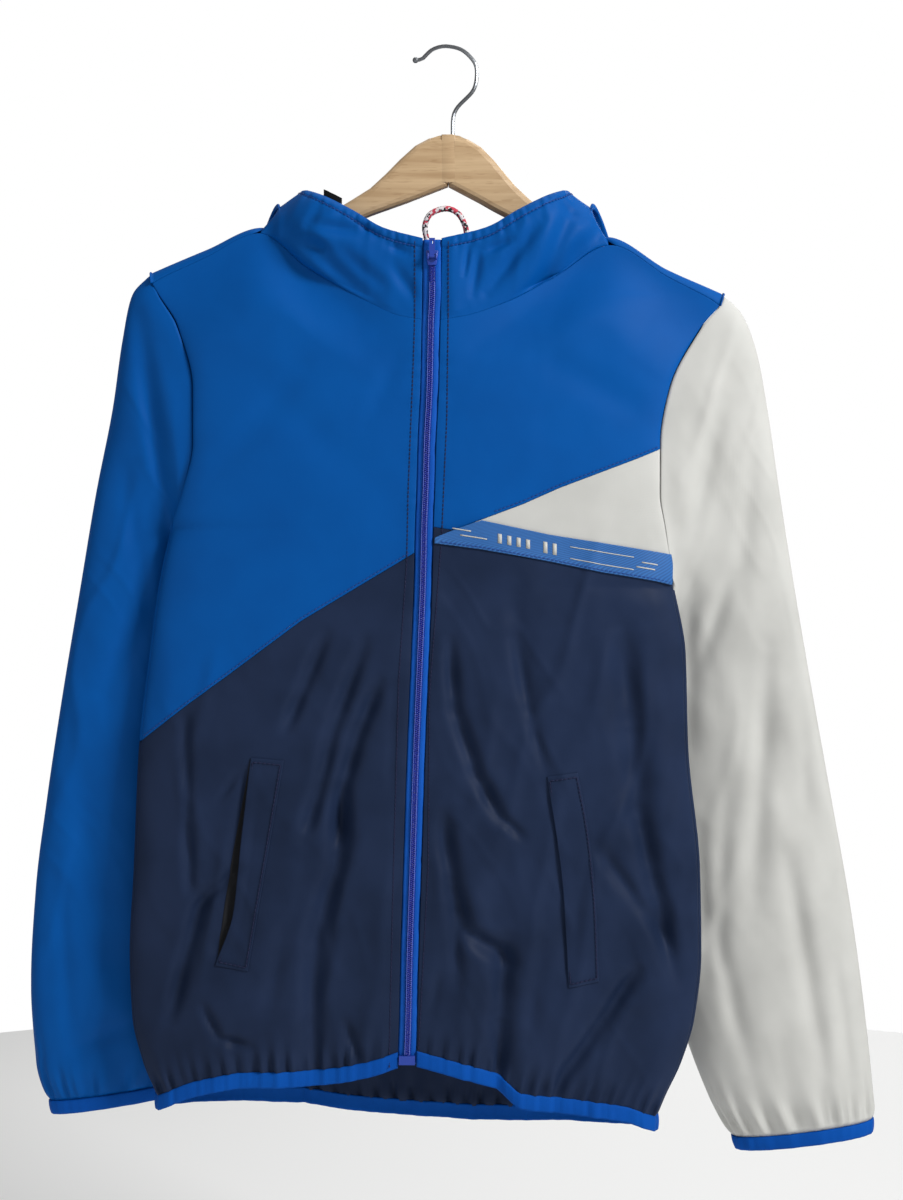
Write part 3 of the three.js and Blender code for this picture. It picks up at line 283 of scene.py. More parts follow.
# Gathers of uneven width that fade away from an elastic edge
def gather(share, count, away, reach, seed=3):
    warp = 0.3 * softNoise(seed, share * count * 0.45, share * 0) / count
    first = np.cos(2 * np.pi * count * (share + warp)) * (
        1 + 0.6 * softNoise(seed + 40, share * count * 0.8, share * 0))
    second = 0.6 * np.cos(2 * np.pi * count * 1.9 * (share - warp) + 1)
    # the band itself is nearly smooth, and the cloth puckers most just beside it
    beside = away / waves["puckerAt"]
    pucker = 0.14 + 1.1 * beside * np.exp(1 - beside)
    return pucker * (first * np.exp(-((away / reach) ** 2)) + second * np.exp(-((away / (reach * 0.5)) ** 2)))


def armholeDepth(half, z):
    share = (half["shoulder"] - z) / (half["shoulder"] - half["armpit"])
    depth = cut["armholeDepth"] * bow(np.abs(2 * share - 1))
    return np.where((share <= 0) | (share >= 1), 0, depth)


# The side seam is rounded off below the armpit: none of it above, all of it 30 mm further down
def belowArmpit(half, z):
    return smooth((half["armpit"] + 12 - z) / 30)


# A front's inner and outer edge at a height, and how far its side is rounded off
def frontPlace(side, z):
    half = halves[side]
    round_ = cut["sideRound"] * belowArmpit(half, z)
    inner = zipX(z) + half["sign"] * cut["zipHalf"]
    outer = read(bodyOutline, z, half["column"]) - half["sign"] * round_ * 0.3
    return inner, outer, round_


# A point on a front, by share from the zip to the side and by height
def onFront(side, s, z, lift=0):
    half = halves[side]
    inner, outer, round_ = frontPlace(side, z)
    x = mix(inner, outer, s)
    top = read(half["frontTop"], s)
    bottom = read(half["frontHem"], s) + cut["binding"] + cut["seamGap"]
    t = (z - top) / (bottom - top)
    edge = np.hypot(armholeDepth(half, z), round_ * 0.7)
    full = edge + (cut["frontDepth"] - edge) * bow(s)
    topY = mix(cut["frontDepth"], cut["shoulderRound"] * 0.85, smooth(s / half["corner"]))
    out = mix(topY, full, smooth(t / 0.1))
    calm = smooth(t / 0.1) * smooth((1 - s) / 0.15) * smooth(s / 0.1)
    navy = smooth((-z - 400 + half["sign"] * 40) / 60)
    out = out - mix(1, crease["navyFolds"], navy) * folds(frontFolds, x, z) * calm
    crumpled = crumple(11, x, z, *(mix(*crease[kind], navy) for kind in ("frontSwell", "frontRidge")))
    out = out + crumpled * smooth(t / 0.06) * smooth((1 - s) / 0.1) * smooth(s / 0.07)
    away = z - bottom
    out = out + waves["hem"] * gather(s, waves["front"], away, waves["hemReach"]) * smooth(s / 0.06)
    # short puckers where the zip is sewn in
    beside = np.exp(-((s * crease["frontWide"] / crease["zipReach"]) ** 2)) * smooth(t / 0.03)
    ripple = softNoise(21, z / 9, x * 0) + 0.6 * softNoise(22, z / 5, x * 0)
    out = out + crease["zipPucker"] * beside * ripple
    out = out - pocketDent(side, x, z)
    return np.stack(np.broadcast_arrays(x, -(out + lift), z), -1)


# The cloth sinks beside a pocket's mouth
def pocketDent(side, x, z):
    mouth = pockets[side]["mouth"]
    away = x - read(mouth, z)
    inside = smooth((mouth[0][0] - z) / 18) * smooth((z - mouth[-1][0]) / 18)
    return pockets[side]["dent"] * inside * np.exp(-((away / crease["dentWide"]) ** 2))


# Free edge of each pocket's welt by height, and its two long edges from top to bottom
pockets = {
    "right": {
        "mouth": [(-541, -147), (-600, -154), (-655, -160), (-694, -174)], "dent": 3.4,
        "outer": [(0, -147, -539), (0.38, -154, -600), (0.74, -160, -655), (1, -174, -695)],
        "inner": [(0, -122, -541), (1, -149, -699)], "lift": 2.2, "stitchInset": 4,
        "bag": [(-170, -532), (-70, -528), (-76, -720), (-186, -706)],
    },
    "left": {
        "mouth": [(-553, 75), (-640, 87), (-711, 91)], "dent": 1.2,
        "outer": [(0, 98, -550), (0.3, 107, -600), (0.65, 112, -655), (1, 114, -707)],
        "inner": [(0, 75, -553), (0.55, 87, -640), (1, 91, -711)], "lift": 0.5, "stitchInset": 3,
        "bag": [(40, -528), (112, -532), (124, -718), (28, -722)],
    },
}


def shareOnFront(side, x, z):
    inner, outer, _ = frontPlace(side, z)
    return (x - inner) / (outer - inner)


def onFrontAt(side, x, z, lift=0):
    return onFront(side, np.clip(shareOnFront(side, x, z), 0, 1), z, lift)


# Height at which a seam line crosses each column of a front
def seamHeight(side, s, line):
    z = np.full_like(s, -400.0)
    for _ in range(12):
        inner, outer, _ = frontPlace(side, z)
        z = np.interp(mix(inner, outer, s), *zip(*sorted(line)))
    return z


# A point on the back: m runs from the middle round the side, t from over the shoulder down
def backPoint(side, m, t):
    half = halves[side]
    wrap, topWrap, topRound = cut["wrap"], cut["topWrap"], cut["topRound"]
    main = np.clip(m / (1 - wrap), 0, 1)
    turnSide = np.clip((m - 1 + wrap) / wrap, 0, 1)
    down = np.clip((t - topWrap) / (1 - topWrap), 0, 1)
    turnTop = 1 - np.clip(t / topWrap, 0, 1)
    top = read(half["backTop"], main)
    bottom = read(half["backHem"], main) + cut["binding"] + cut["seamGap"]
    z = mix(top, bottom, down)
    edge = armholeDepth(half, z)
    x = mix(zipX(z), read(bodyOutline, z, half["column"]), main)
    full = edge + (cut["backDepth"] - edge) * bow(main)
    topY = mix(cut["neckBackDepth"], 0, smooth((main - half["corner"] + 0.1) / 0.1))
    y = mix(topY, full, bow(1 - np.clip(down / 0.075, 0, 1)))
    calm = smooth(down / 0.1) * smooth((1 - main) / 0.15)
    y = y - folds(backFolds, x, z) * calm
    navy = smooth((-z - 470) / 60)
    y = y + crumple(41, x, z, *(mix(*crease[kind], navy) for kind in ("backSwell", "backRidge"))) * calm
    puckers = gather(
        main * half["sign"], waves["back"] / 2, (1 - down) * (top - bottom), waves["hemReach"], 5)
    y = y + waves["hem"] * puckers * smooth((1 - m) / 0.05)
    # over the shoulder the back meets the front's top edge; at the neck it only turns in
    quarter = turnTop * np.pi / 2
    inShoulder = smooth((main - half["corner"] + 0.02) / 0.04)
    seam = onFront(side, main, read(half["frontTop"], main) + 0.15)
    x = x + inShoulder * (seam[..., 0] - x) * turnTop
    atNeck = y - topRound * np.sin(quarter * 0.65) - turnTop * 1.2
    y = mix(atNeck, y + (seam[..., 1] - y) * np.sin(quarter), inShoulder)
    atNeck = z - topRound * (1 - np.cos(quarter * 0.65))
    z = mix(atNeck, z + (seam[..., 2] - z) * (1 - np.cos(quarter)), inShoulder)
    sideRound = mix(1, cut["sideRound"], belowArmpit(half, z))
    overSide = turnSide * cut["overSide"]
    x = x - half["sign"] * sideRound * (1 - np.cos(overSide))
    y = y - sideRound * np.sin(overSide)
    return np.stack(np.broadcast_arrays(x, y, z), -1)


# A point on a sleeve, by share from armhole to gathers and by turn round it from the outer edge
def sleevePoint(side, at, turn):
    half, rows = halves[side], sleeveCut[side]
    angle = turn * 2 * np.pi
    cosine, sine = np.cos(angle), np.sin(angle)

    def section(place):
        across = np.sign(cosine) * np.abs(cosine) ** (2 / 2.2)
        round_ = np.sign(sine) * np.abs(sine) ** (2 / 2.3)
        f = (1 - across) / 2
        value = [read(rows, place, k) for k in range(1, 8)]
        return [
            mix(value[0], value[2], f), mix(value[4], value[5], f) - value[6] * round_,
            mix(value[1], value[3], f),
        ]

    point = section(at)
    fade = np.clip(1 - at / 0.2, 0, 1) ** 2
    first = section(at * 0)
    z = mix(half["shoulder"], half["armpit"], (1 - cosine) / 2)
    loop = [read(bodyOutline, z, half["column"]), -np.sign(sine) * armholeDepth(half, z), z]
    point = [p + (l - f) * fade for p, l, f in zip(point, loop, first)]
    point[0] = point[0] + half["sign"] * cut["armholeGap"] * fade
    point[2] = point[2] - cut["armholeGap"] * fade * smooth(-cosine)
    facing = np.where(sine >= 0, 1, -1) * smooth(np.abs(sine) * 2)
    calm = smooth(at / 0.06) * smooth((1 - at) / 0.05)
    size = folds(sleeveFolds[side], point[0], point[2]) * calm
    crumpled = crumple(half["sleeveSeed"], point[0] + 60 * (sine < 0), point[2], *crease["sleeve"])
    size = size - crumpled * smooth(at / 0.05) * smooth((1 - at) / 0.03)
    wave = waves["cuffSize"] * gather(
        turn, waves["cuff"], (1 - at) * waves["sleeveLong"], waves["hemReach"], 7)
    y = point[1] + facing * size - np.sign(sine) * smooth(np.abs(sine) * 3) * wave
    x = point[0] + half["sign"] * cosine * wave
    return np.stack(np.broadcast_arrays(x, y, point[2]), -1)


# A point on a cuff's binding, which carries on from the sleeve's end
def cuffPoint(side, f, turn):
    point = sleevePoint(side, np.ones_like(turn), turn)
    outX, outZ, inX, inZ = cuffCut[side]
    share = (1 - np.cos(turn * 2 * np.pi)) / 2
    g = (cut["seamGap"] + f * (cut["binding"] - cut["seamGap"])) / cut["binding"]
    point[..., 0] += mix(outX, inX, share) * g
    point[..., 2] += mix(outZ, inZ, share) * g
    return point


# A point on the neck seam, by share from the zip round to the middle of the back
def neckPoint(side, u):
    half = halves[side]
    frontShare = np.clip(u / 0.5, 0, 1) * half["corner"]
    front = onFront(side, frontShare, read(half["frontTop"], frontShare))
    back = backPoint(side, half["corner"] * (1 - np.clip((u - 0.5) / 0.5, 0, 1)) * (1 - cut["wrap"]), u * 0)
    point = np.where((u < 0.5)[..., None], front, back)
    point[..., 2] += 0.03
    return point


# How far the hood's front swells forward and sags over the neck seam, by share round the neck
hoodSwell = [
    (0, 0, 0), (0.12, 0.5, 0), (0.2, 4, 3), (0.28, 9, 9), (0.36, 13, 14), (0.44, 10, 8), (0.5, 6, 3),
    (0.56, 4, 0), (1, 4, 0),
]


# A point on the hood, by share round the neck and by share from the neck seam up to the rim
def hoodPoint(side, u, v):
    sign = halves[side]["sign"]
    value = [read(hoodCut, u, k) for k in range(1, 9)]
    nearZip = np.where(u < 0.2, (1 - u / 0.2) * 2, 0)
    rim = np.stack([hoodMiddle + sign * value[0] - nearZip, value[1], value[2]], -1)
    roll = np.stack([hoodMiddle + sign * value[3] - nearZip, value[4], value[5]], -1)

    def low(share, more):
        point = mix(roll, rim, share)
        point[..., 0] += sign * value[7]
        point[..., 1] += more
        point[..., 2] -= value[6]
        return point

    knots = [neckPoint(side, u), roll, low(0.25, 3), low(0.8, 0), rim]
    knots = np.stack([2 * knots[0] - knots[1]] + knots + [2 * knots[4] - knots[3]])
    segment = np.clip(np.floor(v * 4), 0, 3).astype(int)
    w = (v * 4 - segment)[..., None]
    index = np.indices(segment.shape)
    p = [knots[(segment + k, *index)] for k in range(4)]
    point = between(p[1], p[2], 0.5 * (p[2] - p[0]), 0.5 * (p[3] - p[1]), w)
    swell, sag = read(hoodSwell, u, 1), read(hoodSwell, u, 2)
    frontPath = mix(knots[1], knots[5], v[..., None])
    frontPath[..., 1] -= swell * np.sin(np.pi * v) ** 0.8
    frontPath[..., 2] -= sag * 5 * v * (1 - v) ** 3
    point = mix(frontPath, point, smooth((u - hoodTurn["path"]) / hoodTurn["over"])[..., None])
    wave = waves["rimSize"] * gather(u * 2, waves["rim"] * 1.6, (1 - v) * 60, waves["rimReach"], 9)
    wave = wave * smooth((hoodTurn["gathers"] - u) / 0.06) * smooth(u / 0.05)
    calm = smooth(v / 0.1) * smooth((1 - v) / 0.12) * smooth(u / 0.04) * smooth((1 - u) / 0.04)
    pouch = smooth((u - hoodTurn["pouch"]) / hoodTurn["over"])
    deep = folds(hoodFolds, point[..., 0], point[..., 2]) * (1 - pouch)
    crumpled = crumple(81, point[..., 0] * 1.2, point[..., 2] * 0.6 + point[..., 1], *crease["hood"])
    point[..., 1] += wave + calm * (deep + mix(-0.7, 1, pouch) * crumpled)
    return point


# Colours: sRGB hex to the linear values that a shader wants
def linear(hexColour):
    parts = [int(hexColour[i:i + 2], 16) / 255 for i in (1, 3, 5)]
    return [c / 12.92 if c <= 0.04045 else ((c + 0.055) / 1.055) ** 2.4 for c in parts] + [1]


# Gives a node's sockets, by name or number, their values or their links
def setSockets(tree, node, inputs):
    for socket, value in inputs.items():
        if isinstance(value, bpy.types.NodeSocket):
            tree.links.new(value, node.inputs[socket])
        else:
            node.inputs[socket].default_value = value


def addNode(tree, kind, inputs=None, **settings):
    node = tree.nodes.new("ShaderNode" + kind)
    for name, value in settings.items():
        setattr(node, name, value)
    setSockets(tree, node, inputs or {})
    return node


def newMaterial(name, colour, roughness, **sockets):
    material = bpy.data.materials.new(name)
    material.use_nodes = True
    tree = material.node_tree
    shader = tree.nodes["Principled BSDF"]
    setSockets(tree, shader, {"Base Color": linear(colour), "Roughness": roughness})
    setSockets(tree, shader, {socket.replace("_", " "): value for socket, value in sockets.items()})
    return material, tree, shader


# Two colours mixed by a factor
def addTone(tree, factor, first, second):
    return addNode(tree, "Mix", {0: factor, 6: first, 7: second}, data_type="RGBA").outputs[2]


# A wave texture repeats once in this length over its scale, in metres
waveRun = 0.314


# Gives a cloth its two tones and the relief of its threads
def finishCloth(tree, shader, tone, height, strength, depth):
    bump = addNode(tree, "Bump", {"Strength": strength, "Distance": depth, "Height": height})
    setSockets(tree, shader, {"Base Color": tone, "Normal": bump.outputs["Normal"]})


# Plain weave on the cloth's own map, which is in metres; the threads are drawn coarser than they are
def wovenCloth(name, colour, shade, roughness, threadMm=1.1, depthMm=0.05):
    material, tree, shader = newMaterial(name, colour, roughness, IOR=1.5, Specular_IOR_Level=0.08)
    place = addNode(tree, "TexCoord")
    bands = [
        addNode(tree, "TexWave", {
            "Vector": place.outputs["UV"], "Scale": waveRun / (threadMm / 1000),
            "Distortion": 0.4, "Detail": 0,
        }, bands_direction=direction).outputs["Fac"]
        for direction in "XY"
    ]
    weave = addNode(tree, "Math", dict(enumerate(bands)), operation="MULTIPLY")
    cloud = addNode(tree, "TexNoise", {"Vector": place.outputs["Object"], "Scale": 22, "Detail": 3})
    spread = addNode(tree, "MapRange", {"Value": cloud.outputs["Fac"], "From Min": 0.35, "From Max": 0.7})
    tone = addTone(tree, spread.outputs["Result"], linear(colour), linear(shade))
    finishCloth(tree, shader, tone, weave.outputs[0], 0.35, depthMm / 1000)
    return material


print("materials")
# Calendered polyester: thin, close plain weave, with a soft broad gloss along its folds
bluePolyester = wovenCloth("calenderedBluePolyester", "#00509C", "#004C96", 0.55)
navyPolyester = wovenCloth("calenderedNavyPolyester", "#1F2C47", "#19253D", 0.52)
whitePolyester = wovenCloth("calenderedWhitePolyester", "#C4C4C0", "#BBBBB7", 0.55)
# Painted shade: a near-black sheet stands for the deep shade inside the pocket's mouth, where no light
# reaches
paintedShadeLining = newMaterial("paintedShadePocketMouth", "#070A12", 0.9)[0]
# Knitted elastic binding: coarse and dull
knittedBinding = wovenCloth("knittedBlueBinding", "#054EA6", "#03469A", 0.7, threadMm=1.4, depthMm=0.2)
zipTapeCloth = wovenCloth("wovenZipTape", "#1557B6", "#104EA8", 0.65, threadMm=1.2, depthMm=0.15)
satinLabel = wovenCloth("blackSatinLabel", "#141517", "#1B1C1F", 0.35, depthMm=0.03)
# Spun polyester sewing thread, dull on the coloured cloth
threads = {
    name: newMaterial(name + "Thread", colour, roughness)[0]
    for name, colour, roughness in (
        ("blue", "#063C86", 0.8), ("navy", "#080F3A", 0.8), ("white", "#B9B9B4", 0.5))
}
# Nylon coil: extruded filament with a waxy gloss
nylonCoil = newMaterial("blueNylonCoil", "#1A2A96", 0.35, IOR=1.53)[0]
# Thread along the coil, drawn pale as a painted glint on the coil's tips
coilGlint = newMaterial("coilThreadPaintedGlint", "#6478D0", 0.4, IOR=1.5)[0]
# Zinc die casting under baked enamel
enamelledZinc = newMaterial("enamelledZinc", "#1D3C9C", 0.4, IOR=1.5)[0]
# Nickel-chrome on bright steel wire
chromeWire = newMaterial("chromedSteelWire", "#85888C", 0.32, Metallic=1.0)[0]


# Twill tape: fine diagonal ribs, by its own map
def twillTape():
    material, tree, shader = newMaterial("wovenTwillTape", "#1D5C9F", 0.6, IOR=1.5)
    place = addNode(tree, "TexCoord")
    ribs = addNode(tree, "TexWave", {
        "Vector": place.outputs["UV"], "Scale": waveRun / 0.0017, "Distortion": 0,
    }, bands_direction="DIAGONAL").outputs["Fac"]
    tone = addTone(tree, ribs, linear("#17508E"), linear("#2467AE"))
    finishCloth(tree, shader, tone, ribs, 0.5, 0.0001)
    return material


# Beech: pale, close grain along each arm, with short flecks, under clear lacquer
def beech(name, slope):
    material, tree, shader = newMaterial(
        name, "#C9AA82", 0.42, IOR=1.48, Coat_Weight=0.25, Coat_Roughness=0.25)
    place = addNode(tree, "TexCoord")

    def noiseAlong(scale, **more):
        along = addNode(tree, "Mapping", {
            "Vector": place.outputs["Object"], "Rotation": (0, slope, 0), "Scale": scale,
        })
        inputs = {"Vector": along.outputs["Vector"], "Scale": 1, **more}
        return addNode(tree, "TexNoise", inputs).outputs["Fac"]

    bands = addNode(tree, "ValToRGB", {"Fac": noiseAlong((6, 120, 120), Detail=4, Roughness=0.6)})
    for stop, level, colour in zip(bands.color_ramp.elements, (0.3, 0.66), ("#A98963", "#CBAE88")):
        stop.position, stop.color = level, linear(colour)
    pores = addNode(tree, "MapRange", {
        "Value": noiseAlong((90, 700, 700), Detail=1), "From Min": 0.6, "From Max": 0.72, "To Max": 0.35,
    })
    tone = addTone(tree, pores.outputs["Result"], bands.outputs["Color"], linear("#94714A"))
    setSockets(tree, shader, {"Base Color": tone})
    return material


# Braided cord by its own map: white with short black and red flecks
def braidedCord():
    material, tree, shader = newMaterial("fleckedBraid", "#E4DEDF", 0.75, IOR=1.5, Sheen_Weight=0.2)
    place = addNode(tree, "TexCoord")
    last = linear("#E6E0E1")
    for colour, shift, level in (("#17181C", 0.0, 0.62), ("#C9364E", 7.3, 0.6)):
        spot = addNode(tree, "Mapping", {
            "Vector": place.outputs["UV"], "Location": (shift, shift, 0), "Scale": (420, 420, 1),
        })
        cell = addNode(
            tree, "TexVoronoi", {"Vector": spot.outputs["Vector"], "Scale": 1}, distance="CHEBYCHEV")
        red = addNode(tree, "SeparateColor", {"Color": cell.outputs["Color"]})
        pick = addNode(tree, "Math", {0: red.outputs[0], 1: level}, operation="GREATER_THAN")
        last = addTone(tree, pick.outputs[0], last, linear(colour))
    setSockets(tree, shader, {"Base Color": last})
    return material


twill = twillTape()
braid = braidedCord()
beechRight = beech("lacqueredBeechRight", math.radians(34))
beechLeft = beech("lacqueredBeechLeft", math.radians(-34))


def newPiece(name, points, faces, material, uv=None, body="root"):
    mesh = bpy.data.meshes.new(name)
    mesh.from_pydata((np.asarray(points) / 1000).tolist(), [], faces)
    mesh.materials.append(material)
    if uv is not None:
        layer = mesh.uv_layers.new(name="UVMap")
        corners = np.empty(len(mesh.loops), np.int32)
        mesh.loops.foreach_get("vertex_index", corners)
        layer.data.foreach_set("uv", (np.asarray(uv)[corners] / 1000).astype(np.float32).ravel())
    mesh.shade_smooth()
    mesh.validate()
    piece = bpy.data.objects.new(name, mesh)
    bpy.context.scene.collection.objects.link(piece)
    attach(piece, body)
    return piece


# Faces of a tube of rings: its wall ring by ring, then a cap at each end
def tubeFaces(rings, sides):
    wall = [
        [r * sides + k, r * sides + (k + 1) % sides, (r + 1) * sides + (k + 1) % sides, (r + 1) * sides + k]
        for r in range(rings - 1) for k in range(sides)
    ]
    last = (rings - 1) * sides
    return wall + [list(range(sides - 1, -1, -1)), list(range(last, last + sides))]


# Many closed beads of one shape in one piece; corners holds, for each corner, its places in all the beads
def newBeads(name, corners, sides, material, flip=False):
    one = [face[::-1] if flip else face for face in tubeFaces(len(corners) // sides, sides)]
    faces = [[i * len(corners) + v for v in face] for i in range(len(corners[0])) for face in one]
    return newPiece(name, np.stack(corners, 1).reshape(-1, 3), faces, material)


# A grid of points as a closed thin wall. way says on which side of the grid its outside is.
def clothWall(name, grid, material, way=1, thick=cut["cloth"], lift=0.0, ring=False, replaces=(),
              seamSink=0.0, sinkTop=1.0):
    rows, columns = grid.shape[:2]
    down = np.gradient(grid, axis=0)
    across = np.roll(grid, -1, axis=1) - np.roll(grid, 1, axis=1) if ring else np.gradient(grid, axis=1)
    normal = np.cross(down, across) * way
    normal /= np.maximum(np.linalg.norm(normal, axis=-1, keepdims=True), 1e-9)
    lift = np.broadcast_to(np.asarray(lift, float), (rows, columns))
    if seamSink:
        lift = lift - seamSink * edgeSink(grid, ring, sinkTop)
    outer = grid + normal * lift[..., None]
    inner = grid + normal * (lift - thick)[..., None]
    points = np.concatenate([outer.reshape(-1, 3), inner.reshape(-1, 3)])
    uv = np.stack(np.meshgrid(runLength(grid, 1), runLength(grid)), -1).reshape(-1, 2)
    shift = rows * columns
    index = np.arange(shift).reshape(rows, columns)
    faces = []

    def strip(a, b, c, d):
        faces.extend(np.stack([a, b, c, d], -1).reshape(-1, 4).tolist())

    right = np.roll(index, -1, axis=1) if ring else index[:, 1:]
    left = index if ring else index[:, :-1]
    strip(left[:-1], right[:-1], right[1:], left[1:])
    strip(left[:-1] + shift, left[1:] + shift, right[1:] + shift, right[:-1] + shift)
    strip(left[0], left[0] + shift, right[0] + shift, right[0])
    strip(left[-1], right[-1], right[-1] + shift, left[-1] + shift)
    if not ring:
        a, b = index[:-1, 0], index[1:, 0]
        strip(a, b, b + shift, a + shift)
        a, b = index[:-1, -1], index[1:, -1]
        strip(a, a + shift, b + shift, b)
    if way > 0:
        faces = [face[::-1] for face in faces]
    piece = newPiece(name, points, faces, material, np.concatenate([uv, uv]))
    if replaces:
        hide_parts(*replaces)
    return piece


# Sewn edges sink a little, because the allowance is turned in there
def edgeSink(grid, ring, top):
    def nearBoth(run, first=1.0):
        reach = cut["sinkReach"]
        return np.maximum(first * np.exp(-((run / reach) ** 2)), np.exp(-(((run[-1] - run) / reach) ** 2)))

    sink = nearBoth(runLength(grid), top)[:, None]
    if ring:
        return np.broadcast_to(sink, grid.shape[:2])
    return np.maximum(sink, nearBoth(runLength(grid, 1))[None, :])


# Even steps, with a few close ones at both ends for the turned edges
def stops(length, cell=cut["cell"]):
    count = max(4, int(round(length / cell)))
    ends = np.array(cut["edgeSteps"]) / length
    middle = np.linspace(ends[-1], 1 - ends[-1], count)
    return np.concatenate([ends[:-1], middle, 1 - ends[:-1][::-1]])


print("fronts")


def frontPiece(name, side, topLine, bottomLine, material, node, flat, area):
    s = stops(205)
    half = halves[side]
    top = read(half["frontTop"], s) if topLine is None else seamHeight(side, s, topLine) - cut["pieceGap"]
    if bottomLine is None:
        bottom = read(half["frontHem"], s) + cut["binding"] + cut["seamGap"]
    else:
        bottom = np.minimum(seamHeight(side, s, bottomLine) + cut["pieceGap"], top - 0.6)
    f = stops(float(np.max(top - bottom)))[:, None]
    z = mix(top, bottom, f)
    piece = clothWall(name, onFront(side, np.broadcast_to(s, z.shape), z), material, way=half["sign"],
                      replaces=[node], seamSink=0.35, sinkTop=0 if topLine is None else 1)


upperLeftLine = [
    (x, max(np.interp(x, *zip(*wedgeTop)), np.interp(x, *zip(*tapeMiddle)))) for x in range(-20, 201, 3)
]
for front in (
    ("frontRightUpper", "right", None, rightSeam, bluePolyester, "front_right_upper", (0.24, 0.42), 0.062),
    ("frontRightLower", "right", rightSeam, None, navyPolyester, "front_right_lower", (0.25, 0.42), 0.075),
    ("frontLeftUpper", "left", None, upperLeftLine, bluePolyester, "front_left_upper", (0.22, 0.22), 0.029),
    ("frontLeftLower", "left", tapeMiddle, None, navyPolyester, "front_left_lower", (0.22, 0.42), 0.078),
):
    frontPiece(*front)


# The white wedge runs out to a point towards the zip, so it has its own columns
def wedgePiece():
    def edges(s):
        gap = cut["pieceGap"]
        return seamHeight("left", s, wedgeTop) - gap, seamHeight("left", s, tapeMiddle) + gap

    s = np.linspace(0, 1, 400)
    upper, lower = edges(s)
    columns = mix(s[np.argmax(upper - lower > 0.8)], 1, stops(150))
    upper, lower = edges(columns)
    f = stops(float(np.max(upper - lower)))[:, None]
    z = mix(upper, np.minimum(lower, upper - 0.5), f)
    grid = onFront("left", np.broadcast_to(columns, z.shape), z)
    piece = clothWall("frontLeftWedge", grid, whitePolyester, replaces=["front_left_wedge"], seamSink=0.5)


wedgePiece()

print("woven tape")
tapeLook = {
    "lift": 1.1, "thick": 0.8, "nearEnd": 26, "farEnd": 0.995, "fold": 0.85, "markLift": 0.28,
    "markThick": 0.3,
}


def onTape(x, f):
    top, bottom = (np.interp(x, *zip(*line)) for line in (tapeTop, tapeBottom))
    return onFrontAt("left", x, mix(top, bottom, f), 0.2)


def tapePiece():
    inner, outer, _ = frontPlace("left", np.array(-398.0))
    f = stops(22, 1.5)[:, None]
    # the near end is cut along the zip's edge, and its top corner is folded away
    cutBack = mix(tapeLook["nearEnd"], -10, np.clip(f / tapeLook["fold"], 0, 1))
    start = np.maximum(zipX(np.array(-380.0)) + cut["zipHalf"] + 1, cutBack)
    x = mix(start, float(mix(inner, outer, tapeLook["farEnd"])), stops(170)[None, :])
    piece = clothWall("wovenTape", onTape(x, np.broadcast_to(f, x.shape)), twill, thick=tapeLook["thick"],
                      lift=tapeLook["lift"], replaces=["front_left_tape"])


tapePiece()

# Plain lines and short bars woven into the tape: from x to x, and by share from its top edge down
tapeMarks = [
    (4, 18, 0.42, 0.46), (10, 30, 0.6, 0.64), (92, 140, 0.3, 0.33), (92, 140, 0.72, 0.75),
    (146, 158, 0.42, 0.46), (142, 156, 0.6, 0.64), (38, 41, 0.35, 0.68), (45, 48, 0.35, 0.68),
    (52, 55, 0.35, 0.68), (59, 62, 0.35, 0.68), (72, 75, 0.3, 0.72), (79, 82, 0.3, 0.72),
]
for number, (x0, x1, f0, f1) in enumerate(tapeMarks):
    x, f = np.meshgrid(np.linspace(x0, x1, max(3, int((x1 - x0) / 2))), np.linspace(f0, f1, 3))
    clothWall("tapeMark%d" % (number + 1), onTape(x, f), threads["white"], thick=tapeLook["markThick"],
              lift=tapeLook["lift"] + tapeLook["markLift"])

print("back")


# Columns from side to side round the back, above its seam or below it
def backGrid(isUpper):
    turned = np.linspace(1 - cut["wrap"], 1, 7)[1:]
    flat = np.linspace(-(1 - cut["wrap"]), 1 - cut["wrap"], 150)
    dense = spans((0, 0.08, 16), (0.08, 1, 236))
    down = spans((0, 0.09, 14), (0.09, 1, 110)) if isUpper else np.linspace(0, 1, 115)
    columns = []
    for share in np.concatenate([-turned[::-1], flat, turned]):
        side = "right" if share < 0 else "left"
        m = abs(share)
        line = backPoint(side, np.full_like(dense, m), dense)
        over = np.interp(line[:, 0], *zip(*backSeam)) - line[:, 2]
        below = np.argmax(over > 0)
        t = float(np.interp(0, over[below - 1:below + 1], dense[below - 1:below + 1]))
        low, high = (0, t - cut["backGap"]) if isUpper else (t + cut["backGap"], 1)
        columns.append(backPoint(side, np.full_like(down, m), low + (high - low) * down))
    return np.stack(columns, 1)


for name, isUpper, material, node, flat, area in (
    ("backUpper", True, bluePolyester, "back_upper", (0.46, 0.42), 0.125),
    ("backLower", False, navyPolyester, "back_lower", (0.47, 0.43), 0.16),
):
    piece = clothWall(name, backGrid(isUpper), material, way=-1, replaces=[node], seamSink=0.35, sinkTop=0.3)

print("sleeves and cuffs")
bindingLook = {"thick": 2.2, "lift": 0.35, "bulge": 0.8, "rows": 9}
bindingRun = np.linspace(0, 1, bindingLook["rows"])[:, None]
bindingLift = bindingLook["lift"] + bindingLook["bulge"] * np.sin(
    np.pi * np.clip(bindingRun, 0.03, 0.97)) ** 0.5


# An elastic binding: a thick rounded band on its own grid
def bindingPiece(name, grid, way, node, ring=False):
    piece = clothWall(name, grid, knittedBinding, way=way, thick=bindingLook["thick"], lift=bindingLift,
                      ring=ring, replaces=[node])


